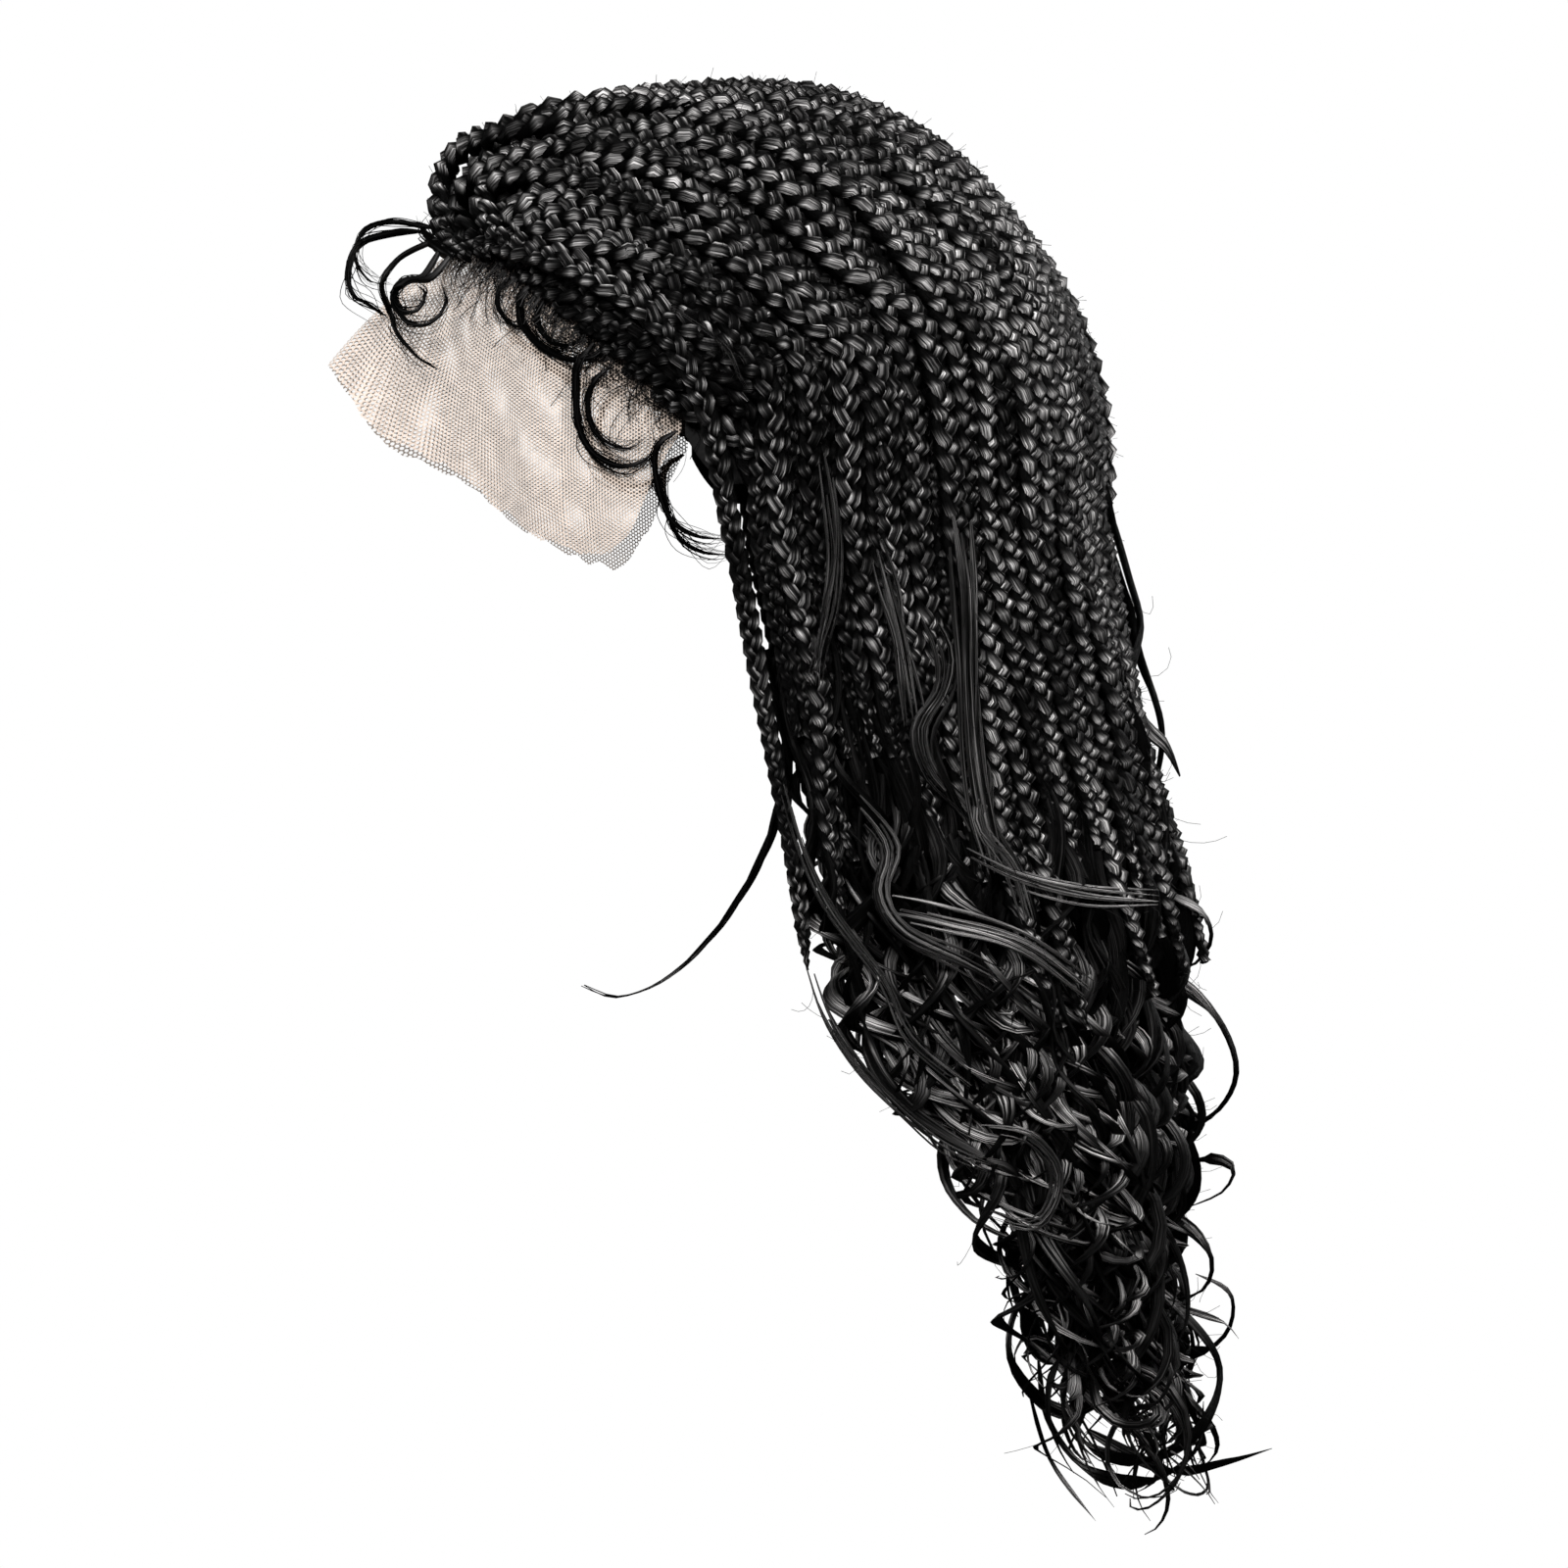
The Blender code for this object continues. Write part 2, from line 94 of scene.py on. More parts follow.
# Rows of the hair below the ears: drop and rise in HANG_LENGTHs, front in FRONT_SWEEPs, back in
# BACK_SWEEPs, flare in FLAREs, walls in CURTAIN_WALLs
HangRow = namedtuple("HangRow", "drop front back flare rise side_wall back_wall")
HANG_ROWS = [HangRow(*row) for row in (
    (0.000, 0.00, 0.00, 0.00, 0.020, 0.28, 0.45),
    (0.075, 0.06, 0.10, 0.05, 0.012, 0.36, 0.65),
    (0.170, 0.13, 0.21, 0.15, 0.010, 0.45, 0.80),
    (0.275, 0.19, 0.35, 0.30, 0.020, 0.55, 0.90),
    (0.380, 0.24, 0.49, 0.50, 0.030, 0.62, 0.95),
    (0.465, 0.29, 0.67, 0.70, 0.020, 0.70, 1.00),
    (0.560, 0.42, 0.81, 0.90, 0.018, 0.80, 1.00),
    (0.645, 0.61, 0.90, 1.00, 0.010, 0.88, 1.00),
    (0.735, 0.77, 0.86, 1.00, 0.000, 0.92, 1.00),
    (0.830, 0.83, 0.81, 0.90, 0.000, 0.88, 0.95),
    (0.915, 0.90, 0.86, 0.75, 0.000, 0.75, 0.85),
    (1.000, 0.98, 0.98, 0.60, 0.010, 0.60, 0.65),
)]
LAST_ROW = len(CROWN_ROWS) + len(HANG_ROWS) - 1
GROUPS = ("temple_left", "side_left", "crown", "side_right", "temple_right")

# Rim of the cap, and cut edge of the lace: turn in degrees from the face, drop in head heights
RIM = ((0, 0.37), (30, 0.47), (50, 0.57), (62, 0.69), (72, 0.82), (80, 0.95),
       (88, 1.03), (97, 1.12), (110, 1.32), (130, 1.50), (150, 1.61), (180, 1.64))
LACE_DROP = ((0, 0.83), (12, 1.00), (24, 1.12), (38, 1.28), (55, 1.38), (62, 1.37), (67, 1.27),
             (78, 1.01))
LACE_LIFT = ((0, 0.92), (12, 0.57), (24, 0.12), (38, 0.0), (78, 0.0))
LACE_STANDS_OFF = 32 * MM
LACE_UNDER = 26 * MM  # how far the lace runs up under the front plaits
NET_RADIUS = 84 * MM  # of the head as the net map takes it

# Plaits
PLAIT_WIDTH = 10 * MM
PLAIT_PITCH = 2.2  # length of one full turn, in plait widths
PLAIT_STEP = 3.5 * MM  # between the points of a plait's route over the head
ROOT_RISE = 18 * MM  # way over which a plait rises from its root to its own height
HANG_SWAY = 0.022  # how far a hanging plait wanders to either side, as a share of its side of the hair
BEND_PASSES = 12
OUTER_PLAITS = 18  # on each side, with as many between and under them
INNER_PLAITS = 11
HAIRLINE_PLAITS = 12
OUTER_DEPTH = 4.4 * MM  # of a plait's centre line under the hair's outer face
UNDER_DEPTH = 8.6 * MM
HAIRLINE_DEPTH = 8.0 * MM
INNER_DEPTH = 16 * MM
LOCK_STEPS = 72  # along each loose lock
LEEWAY = 6 * MM  # how far loose hair may stand out of the box of the plain shape
JOIN_ROW = 9.6  # where plaits leave the head and hang
KNEE_RAISE = 0.3  # how far above that place, on the way to the crown, they turn down
BACK_PULL = 13 * MM  # how far the mass of the curls lies inside the loops at the back
LEAST_GAP = 10.5 * MM  # plaits nearer than this to one another move apart
FURTHEST_MOVE = 8 * MM
SPREAD_PASSES = 9

# Single hairs
ROOT_HAIRS = 600
FRINGE_HAIRS = 420
PLAIT_STRAYS = 3600
END_STRAYS = 1000
STRAY_WIDTH = 0.17 * MM

# Picture that the camera repeats
PICTURE_PIXELS = 1600
PIXEL = 0.305 * MM  # on the wig's middle plane
CAMERA_DISTANCE = 2.2
PICTURE_MIDDLE = Vector((0, 15.25 * MM, -205.9 * MM))
HAIRLINE = (0.09, 0.61, 0.79)  # way back from the left half of the hairline, square to its plane
# GLEAM, GLEAM_OUT and GLEAM_SHARPNESS set the fixed light direction and spread of the painted highlight on
# strands
GLEAM = (0, -0.25, 0.64)  # added to GLEAM_OUT of the level way out, it gives the way of the light
GLEAM_OUT = 0.72
GLEAM_SHARPNESS = 14.0

rng = random.Random(7)


def blend(a, b, share):
    return a + (b - a) * share


def ease(share):
    share = min(max(share, 0.0), 1.0)
    return share * share * (3 - 2 * share)


def smooth(before, start, end, after, share):
    """Point of a smooth curve between start and end, for numbers and vectors."""
    square, cube = share * share, share**3
    return 0.5 * (
        2 * start
        + (end - before) * share
        + (2 * before - 5 * start + 4 * end - after) * square
        + (3 * start - before - 3 * end + after) * cube
    )


def read_table(table, turn):
    """Second value of a table at a turn to either side, read smoothly between its rows."""
    turn = abs(turn)
    values = [row[1] for row in table]
    for i in range(len(table) - 1):
        if turn <= table[i + 1][0] or i == len(table) - 2:
            share = (turn - table[i][0]) / (table[i + 1][0] - table[i][0])
            before = values[i - 1] if i else values[1]
            after = values[min(i + 2, len(values) - 1)]
            return smooth(before, values[i], values[i + 1], after, min(share, 1))
    return values[-1]


def wander(seed, place):
    """Smooth number from about -1 to 1 that changes along a strand."""
    return 2 * noise.noise(Vector((seed * 7.31, place, seed * 0.17)))


# Shape of the head and of the hair

head_centre = Vector((0, 0, -HEAD_HEIGHT))


def fullness_towards(across, along):
    reach = math.hypot(across, along)
    brow_share = 0.5 if reach < 1e-9 else 0.5 - 0.5 * along / reach
    return blend(NAPE_FULLNESS, BROW_FULLNESS, brow_share)


def head_point(turn, drop, out):
    """Point on the head grown by out, turn degrees from the face, drop head heights under the crown."""
    across, along = math.sin(math.radians(turn)), -math.cos(math.radians(turn))
    fullness = fullness_towards(across, along)
    height = 1 - drop
    girth = max(0.0, 1 - abs(height) ** fullness) ** (1 / fullness)
    reach = 1 / math.hypot(across / (HEAD_HALF_WIDTH + out), along / (HEAD_HALF_LENGTH + out))
    level = reach * girth
    return head_centre + Vector((across * level, along * level, (HEAD_HEIGHT + out) * height))


def head_reach(direction, out):
    """Distance from the head's centre to the head grown by out, in a unit direction."""
    fullness = fullness_towards(direction.x, direction.y)
    side = direction.x / (HEAD_HALF_WIDTH + out)
    front = direction.y / (HEAD_HALF_LENGTH + out)
    girth = math.hypot(side, front)
    return (girth**fullness + abs(direction.z / (HEAD_HEIGHT + out)) ** fullness) ** (-1 / fullness)


def off_head(direction, out):
    """Point of the head grown by out, in a unit direction from its centre."""
    return head_centre + direction * head_reach(direction, out)


def pixel_at(x):
    """Size of a pixel x to the wearer's left of the middle plane."""
    return PIXEL * (CAMERA_DISTANCE - x) / CAMERA_DISTANCE


def seen_at(across, down, x):
    """Point x to the wearer's left that the camera sees at a place in the picture, in pixels."""
    size = pixel_at(x)
    half = PICTURE_PIXELS / 2
    return Vector((x, PICTURE_MIDDLE.y + (across - half) * size, PICTURE_MIDDLE.z + (half - down) * size))


def seen_on_head(across, down, out):
    """Point of the head grown by out that the camera sees at a place in the picture."""
    x = HEAD_HALF_WIDTH
    for _ in range(10):
        offset = seen_at(across, down, x) - head_centre
        fullness = fullness_towards(x, offset.y)
        girth = max(0.0, 1 - abs(offset.z / (HEAD_HEIGHT + out)) ** fullness) ** (2 / fullness)
        inside = girth - (offset.y / (HEAD_HALF_LENGTH + out)) ** 2
        x = (HEAD_HALF_WIDTH + out) * math.sqrt(max(0.002, inside))
    return seen_at(across, down, x)


def clear_of_cap(point, out):
    offset = point - head_centre
    needed = head_reach(offset.normalized(), out)
    return point if offset.length >= needed else head_centre + offset.normalized() * needed


def crown_row_points(row_index, u, side):
    """Outer and inner point of the hair on the head. u runs from the front edge (0) to the middle (1)."""
    row = CROWN_ROWS[row_index]
    share = row_index / len(CROWN_ROWS)
    edge_along = blend(FRONT_EDGE_START[0], 0, share) * HEAD_HALF_LENGTH
    edge_level = blend(FRONT_EDGE_START[1] * HEAD_HEIGHT, -EAR_DROP, share)
    edge = Vector((HEAD_HALF_WIDTH, edge_along, edge_level)).normalized()
    turn = math.radians(row.turn)
    middle = Vector((0, -math.cos(turn), math.sin(turn)))
    direction = edge.slerp(middle, u**row.crowding)
    direction.x *= side
    layer = BRAID_LAYER * blend(row.side_layer, row.layer, u)
    inner_out = CAP_WALL + HAIR_GAP
    return off_head(direction, inner_out + max(layer, LEAST_LAYER)), off_head(direction, inner_out)


def hang_row_points(row, u, side):
    """Outer and inner point of a row of the hanging hair, a half oval that is open to the front."""
    level = -HEAD_HEIGHT - EAR_DROP - row.drop * HANG_LENGTH
    half_width = HEAD_HALF_WIDTH + BRAID_LAYER + row.flare * FLARE
    front = row.front * FRONT_SWEEP
    back = HEAD_HALF_LENGTH + 1.7 * BRAID_LAYER + row.back * BACK_SWEEP
    angle = u * math.pi / 2
    power = 2 / CURTAIN_SQUARENESS
    across, along = max(0.0, math.cos(angle)) ** power, math.sin(angle) ** power

    def place(side_wall, back_wall):
        x = side * across * (half_width - side_wall)
        y = front + (back - back_wall - front) * along
        return Vector((x, y, level + row.rise * HANG_LENGTH * along))

    inner = place(row.side_wall * CURTAIN_WALL, row.back_wall * CURTAIN_WALL)
    inner = clear_of_cap(inner, CAP_WALL + HAIR_GAP)
    return clear_of_cap(place(0, 0), CAP_WALL + HAIR_GAP + LEAST_LAYER), inner


def row_points(index, s):
    """Outer and inner point of a row at s, from the left front edge (0) to the right one (1)."""
    u = 1 - abs(2 * min(max(s, 0.0), 1.0) - 1)
    side = 1 if s <= 0.5 else -1
    if index < len(CROWN_ROWS):
        return crown_row_points(index, u, side)
    return hang_row_points(HANG_ROWS[index - len(CROWN_ROWS)], u, side)


def behind_hairline(point, least):
    """The point, moved back where it is nearer than least to the hairline. Fades below the ears."""
    away = Vector((math.copysign(HAIRLINE[0], point.x), *HAIRLINE[1:]))
    height = point.z - head_centre.z
    short = least - 0.26 * max(0.0, 25 * MM - height) - (point - head_centre).dot(away)
    return point + away * max(0.0, short) * ease(height / (30 * MM) + 1)


def hair_points(row, s):
    """Outer and inner point of the hair at any row, whole or between two."""
    first = min(max(int(row), 0), LAST_ROW - 1)
    around = [row_points(min(max(first + step, 0), LAST_ROW), s) for step in (-1, 0, 1, 2)]
    share = row - first
    return tuple(smooth(*(points[i] for points in around), share) for i in (0, 1))


# Strand routes: what every plait, lock and single hair follows


def step_at(points, k):
    """From the point before the k-th one to the point after it."""
    return points[min(k + 1, len(points) - 1)] - points[max(k - 1, 0)]


class Route:
    """Centre line of a strand, with its widths, the way its flat side faces and its painted highlight.

    tone, from 0 to 1, gives it a shade and a twist of its own. ends are the loose locks that leave it.
    """

    def __init__(self, points, widths, tone, painted_light=0.0, outs=None):
        self.widths = widths if isinstance(widths, list) else [widths] * len(points)
        self.tone = tone
        self.painted_light = painted_light
        self.ends = []
        self.lay(points, outs)

    def lay(self, points, outs=None):
        self.points = points
        self.along = [0.0]
        for a, b in zip(points, points[1:]):
            self.along.append(self.along[-1] + (b - a).length)
        self.outs = []
        for k, out in enumerate(outs or [outward(p) for p in points]):
            run = step_at(points, k).normalized()
            self.outs.append((out - run * out.dot(run)).normalized())

    def turned(self, angle_at):
        """Turns the flat side about the centre line by an angle that changes along it."""
        for k, out in enumerate(self.outs):
            run = step_at(self.points, k).normalized()
            angle = angle_at(self.along[k])
            self.outs[k] = out * math.cos(angle) + run.cross(out) * math.sin(angle)
        return self


def plait_turns(route):
    """How far round its plait the first strand has come at each point of a route, in radians."""
    turns = [route.tone * 40]
    for a, b, wide, next_wide in zip(route.along, route.along[1:], route.widths, route.widths[1:]):
        mean_width = max((next_wide + wide) / 2, 3 * MM)
        turns.append(turns[-1] + math.tau * (b - a) / (PLAIT_PITCH * mean_width))
    return turns


def guide_mesh(name, routes):
    """Loose edges along the routes, with what the node trees read as attributes."""
    points, edges = [], []
    values = {label: [] for label in ("out", "width", "along", "turn", "tone", "painted_light")}
    for route in routes:
        first, count = len(points), len(route.points)
        points += [tuple(p) for p in route.points]
        edges += [(first + k, first + k + 1) for k in range(count - 1)]
        values["out"] += [tuple(out) for out in route.outs]
        values["width"] += route.widths
        values["along"] += route.along
        values["turn"] += plait_turns(route)
        values["tone"] += [route.tone] * count
        # Strength of the painted highlight, varied along the strand
        values["painted_light"] += [route.painted_light * (1 + 0.32 * wander(50 * route.tone, 30 * a)) for a in route.along]
    mesh = bpy.data.meshes.new(name)
    mesh.from_pydata(points, edges, [])
    for label, numbers in values.items():
        kind, field = ("FLOAT_VECTOR", "vector") if label == "out" else ("FLOAT", "value")
        layer = mesh.attributes.new(label, kind, "POINT")
        layer.data.foreach_set(field, np.array(numbers).ravel())
    return mesh


def new_object(name, data):
    made = bpy.data.objects.new(name, data)
    bpy.context.scene.collection.objects.link(made)
    return made


# Node trees


def add(tree, kind, values=None, **settings):
    """New node with its settings, and with values or links on its inputs by name or number."""
    made = tree.nodes.new(kind)
    for name, value in settings.items():
        setattr(made, name, value)
    for socket, value in (values or {}).items():
        if isinstance(value, bpy.types.NodeSocket):
            tree.links.new(value, made.inputs[socket])
        else:
            made.inputs[socket].default_value = value
    return made


def maths(tree, operation, a, b=0.0):
    return add(tree, "ShaderNodeMath", {0: a, 1: b}, operation=operation).outputs[0]


def times(tree, a, b):
    return maths(tree, "MULTIPLY", a, b)


def vector_maths(tree, operation, a, b=(0, 0, 0)):
    socket = "Scale" if operation == "SCALE" else 1
    return add(tree, "ShaderNodeVectorMath", {0: a, socket: b}, operation=operation).outputs[0]


def named(tree, name, kind="FLOAT"):
    made = add(tree, "GeometryNodeInputNamedAttribute", {"Name": name}, data_type=kind)
    return made.outputs["Attribute"]


def stored(tree, geometry, name, value, kind="FLOAT"):
    values = {"Geometry": geometry, "Name": name, "Value": value}
    return add(tree, "GeometryNodeStoreNamedAttribute", values, data_type=kind).outputs[0]


def new_group(name, kind, inputs, outputs):
    """New node group and its inputs. inputs and outputs give a kind of socket to each name."""
    group = bpy.data.node_groups.new(name, kind)
    for way, sockets in (("INPUT", inputs), ("OUTPUT", outputs)):
        for label, socket in sockets.items():
            group.interface.new_socket(label, in_out=way, socket_type="NodeSocket" + socket)
    return group, add(group, "NodeGroupInput").outputs


def new_hair_tree(name, form):
    """Node tree that grows hair along guides, with an input for each value of a form."""
    kinds = {float: "Float", int: "Int"}
    inputs = {label: kinds.get(type(value), "Material") for label, value in form.items()}
    return new_group(name, "GeometryNodeTree", {"Guides": "Geometry"} | inputs, {"Hair": "Geometry"})


def resampled_guides(tree, given):
    line = add(tree, "GeometryNodeMeshToCurve", {"Mesh": given["Guides"]}).outputs[0]
    values = {"Curve": line, "Length": given["Section spacing"]}
    return add(tree, "GeometryNodeResampleCurve", values, mode="LENGTH").outputs[0]


def rounded_profile(tree, sides, flatness, ridge):
    """Closed section of a strand, flattened and ridged. It keeps where round it each point lies."""
    values = {"Resolution": sides, "Radius": 1.0}
    circle = add(tree, "GeometryNodeCurvePrimitiveCircle", values).outputs[0]
    place = add(tree, "GeometryNodeInputPosition").outputs[0]
    kept = stored(tree, circle, "round", place, "FLOAT_VECTOR")
    number = add(tree, "GeometryNodeInputIndex").outputs[0]
    alternate = maths(tree, "SUBTRACT", 1.0, times(tree, maths(tree, "MODULO", number, 2.0), ridge))
    ridged = vector_maths(tree, "SCALE", place, alternate)
    parts = add(tree, "ShaderNodeSeparateXYZ", {0: ridged}).outputs
    flat = add(tree, "ShaderNodeCombineXYZ", {0: parts[0], 1: times(tree, parts[1], flatness)})
    values = {"Geometry": kept, "Position": flat.outputs[0]}
    return add(tree, "GeometryNodeSetPosition", values).outputs[0]


def swept(tree, line, profile, scale):
    values = {"Curve": line, "Normal": named(tree, "out", "FLOAT_VECTOR")}
    free = add(tree, "GeometryNodeSetCurveNormal", values, mode="FREE").outputs[0]
    values = {"Curve": free, "Profile Curve": profile, "Scale": scale, "Fill Caps": True}
    return add(tree, "GeometryNodeCurveToMesh", values).outputs[0]


def finished(tree, shapes, given):
    joined = add(tree, "GeometryNodeJoinGeometry")
    for shape in shapes:
        tree.links.new(shape, joined.inputs[0])
    real = add(tree, "GeometryNodeRealizeInstances", {"Geometry": joined.outputs[0]}).outputs[0]
    round_shaded = add(tree, "GeometryNodeSetShadeSmooth", {"Geometry": real}).outputs[0]
    values = {"Geometry": round_shaded, "Material": given["Material"]}
    coloured = add(tree, "GeometryNodeSetMaterial", values).outputs[0]
    add(tree, "NodeGroupOutput", {"Hair": coloured})


def make_plait_tree(form):
    """Three strands that cross over one another along every guide."""
    tree, given = new_hair_tree("plait of three strands", form)
    line = resampled_guides(tree, given)
    out = named(tree, "out", "FLOAT_VECTOR")
    run = add(tree, "GeometryNodeInputTangent").outputs[0]
    side = vector_maths(tree, "CROSS_PRODUCT", out, run)
    width, turn = named(tree, "width"), named(tree, "turn")
    profile = rounded_profile(tree, given["Strand sides"], 0.8, 0.0)
    strands = []
    for k in range(3):
        angle = maths(tree, "ADD", turn, math.tau * k / 3)
        double = maths(tree, "SINE", times(tree, angle, 2.0))
        swing = times(tree, maths(tree, "SINE", angle), times(tree, width, given["Swing"]))
        lift = times(tree, double, times(tree, width, given["Lift"]))
        sideways, sunk = vector_maths(tree, "SCALE", side, swing), vector_maths(tree, "SCALE", out, lift)
        offset = vector_maths(tree, "SUBTRACT", sideways, sunk)
        moved = add(tree, "GeometryNodeSetPosition", {"Geometry": line, "Offset": offset}).outputs[0]
        toned = stored(tree, moved, "tone", maths(tree, "ADD", named(tree, "tone"), 0.31 * k))
        # Painted highlight on the top of each strand's tuft, scaled by the plait's painted light amount
        painted_highlight = maths(tree, "MAXIMUM", times(tree, double, -1.0), 0.0)
        lit = stored(tree, toned, "painted_highlight", times(tree, painted_highlight, named(tree, "painted_light")))
        fatness = maths(tree, "ADD", times(tree, maths(tree, "ABSOLUTE", double), given["Tuft"]), 1.0)
        scale = times(tree, times(tree, width, given["Strand width"]), fatness)
        strands.append(swept(tree, lit, profile, scale))
    finished(tree, strands, given)
    return tree


def make_strand_tree(form):
    """One ribbon, lock or hair along every guide, with a painted highlight where it runs square to a fixed
    light direction.
    """
    tree, given = new_hair_tree("strand", form)
    line = resampled_guides(tree, given)
    profile = rounded_profile(tree, given["Strand sides"], given["Flatness"], given["Ridge"])
    # Painted highlight: bright where the strand runs square to the fixed light direction, at least its
    # painted light amount
    run = add(tree, "GeometryNodeInputTangent").outputs[0]
    level = vector_maths(tree, "MULTIPLY", add(tree, "GeometryNodeInputPosition").outputs[0], (1, 1, 0))
    away = vector_maths(tree, "SCALE", vector_maths(tree, "NORMALIZE", level), GLEAM_OUT)
    light = vector_maths(tree, "NORMALIZE", vector_maths(tree, "ADD", away, GLEAM))
    along = add(tree, "ShaderNodeVectorMath", {0: run, 1: light}, operation="DOT_PRODUCT").outputs["Value"]
    square = maths(tree, "SUBTRACT", 1.0, times(tree, along, along))
    gleaming = maths(tree, "POWER", maths(tree, "MAXIMUM", square, 0.0), GLEAM_SHARPNESS)
    lit = stored(tree, line, "painted_highlight", maths(tree, "MAXIMUM", gleaming, named(tree, "painted_light")))
    half = times(tree, named(tree, "width"), 0.5)
    finished(tree, [swept(tree, lit, profile, half)], given)
    return tree


def grow(name, routes, tree, form):
    """Object made by a node tree along the routes, turned into a plain mesh."""
    piece = new_object(name, guide_mesh(name, routes))
    modifier = piece.modifiers.new(tree.name, "NODES")
    modifier.node_group = tree
    for item in tree.interface.items_tree:
        if item.in_out == "INPUT" and item.name in form:
            modifier[item.identifier] = form[item.name]
    seen = piece.evaluated_get(bpy.context.evaluated_depsgraph_get())
    mesh = bpy.data.meshes.new_from_object(seen)
    piece.modifiers.clear()
    piece.data = mesh
    mesh.name = name
    return piece


# Finishes


def fibre_group():
    """Fine lines that run along a strand: fibres that streak the painted highlight, slower patches, and
    their height.
    """
    inputs = {"Round": "Vector"} | dict.fromkeys(("Along", "Tone", "Fibres", "Lines per metre"), "Float")
    outputs = dict.fromkeys(("Line", "Patch", "Height"), "Float")
    group, given = new_group("fibre lines", "ShaderNodeTree", inputs, outputs)
    scaled = vector_maths(group, "SCALE", given["Round"], given["Fibres"])
    wide = add(group, "ShaderNodeSeparateXYZ", {0: scaled}).outputs
    shift = times(group, given["Tone"], 53.0)
    far = maths(group, "ADD", times(group, given["Along"], given["Lines per metre"]), shift)
    place = add(group, "ShaderNodeCombineXYZ", {0: wide[0], 1: wide[1], 2: far}).outputs[0]
    fine = {"Vector": place, "Scale": 1.0, "Detail": 3.0, "Roughness": 0.65}
    line = add(group, "ShaderNodeTexNoise", fine).outputs[0]
    slow = {"Vector": vector_maths(group, "SCALE", place, 0.27), "Scale": 1.0, "Detail": 1.0}
    patch = add(group, "ShaderNodeTexNoise", slow).outputs[0]
    height = maths(group, "ADD", line, times(group, patch, 0.5))
    add(group, "NodeGroupOutput", {"Line": line, "Patch": patch, "Height": height})
    return group


def net_group():
    """Round holes in rows that lie half a hole apart, as in fine net."""
    inputs, outputs = {"Place": "Vector", "Hole": "Float"}, {"Thread": "Float", "Height": "Float"}
    group, given = new_group("net", "ShaderNodeTree", inputs, outputs)
    place = add(group, "ShaderNodeSeparateXYZ", {0: given["Place"]}).outputs
    total = 0.0
    for across, up in ((1.0, 0.0), (0.5, 0.866), (-0.5, 0.866)):
        phase = maths(group, "ADD", times(group, place[0], across), times(group, place[1], up))
        total = maths(group, "ADD", maths(group, "COSINE", times(group, phase, math.tau)), total)
    opened = maths(group, "SUBTRACT", total, given["Hole"])
    thread = ramp(group, opened, 1.0, 0.0, -0.5, 0.5)
    add(group, "NodeGroupOutput", {"Thread": thread, "Height": times(group, total, -0.2)})
    return group


def ramp(tree, value, low, high, start=0.0, end=1.0):
    """Value that goes from low to high while the one given goes from start to end."""
    values = {"Value": value, "From Min": start, "From Max": end, "To Min": low, "To Max": high}
    return add(tree, "ShaderNodeMapRange", values).outputs[0]


def attribute(tree, name, output="Fac"):
    return add(tree, "ShaderNodeAttribute", attribute_name=name).outputs[output]


def new_material(name):
    material = bpy.data.materials.new(name)
    material.use_nodes = True
    return material, material.node_tree, material.node_tree.nodes["Principled BSDF"]


def add_relief(tree, shader, strength, distance, height):
    values = {"Strength": strength, "Distance": distance, "Height": height}
    tree.links.new(add(tree, "ShaderNodeBump", values).outputs[0], shader.inputs["Normal"])


def hair_material(name, fibres, lines, relief, highlight_peak, plaited=False):
    """Near-black hair, with a painted highlight in fine streaks on each tuft of a plait or in bands along
    a lock.
    """
    material, tree, shader = new_material(name)
    rounded, painted_highlight = attribute(tree, "round", "Vector"), attribute(tree, "painted_highlight")
    values = {"Round": rounded, "Along": attribute(tree, "along"), "Tone": attribute(tree, "tone")}
    values |= {"Fibres": fibres, "Lines per metre": lines}
    fibre = add(tree, "ShaderNodeGroup", values, node_tree=fibre_lines).outputs
    if plaited:
        across = maths(tree, "ABSOLUTE", add(tree, "ShaderNodeSeparateXYZ", {0: rounded}).outputs[1])
        # Painted highlight on the tuft's top, and painted shade towards the tuft's sides
        tuft = maths(tree, "POWER", ramp(tree, painted_highlight, 0.0, 1.0, 0.2, 0.9), 2.5)
        lit = times(tree, tuft, ramp(tree, across, 0.03, 1.0, 0.18, 0.82))
    else:
        # Painted highlight in bands where the lock runs square to the light, broken into patches
        patch = ramp(tree, fibre["Patch"], 0.0, 1.2, 0.4, 0.62)
        lit = times(tree, maths(tree, "POWER", painted_highlight, 1.8), patch)
    # Base colour is near black, lifted only by the painted highlight, in fibre streaks
    streak = maths(tree, "POWER", ramp(tree, fibre["Line"], 0.06, 1.0, 0.38, 0.66), 2.0)
    red = ramp(tree, times(tree, streak, lit), 0.0004, highlight_peak)
    parts = {0: red, 1: times(tree, red, 0.97), 2: times(tree, red, 0.96)}
    tree.links.new(add(tree, "ShaderNodeCombineColor", parts).outputs[0], shader.inputs["Base Color"])
    tree.links.new(ramp(tree, fibre["Patch"], 0.34, 0.5, 0.3, 0.7), shader.inputs["Roughness"])
    shader.inputs["Specular IOR Level"].default_value = 0.012
    add_relief(tree, shader, 0.9, relief, fibre["Height"])
    return material


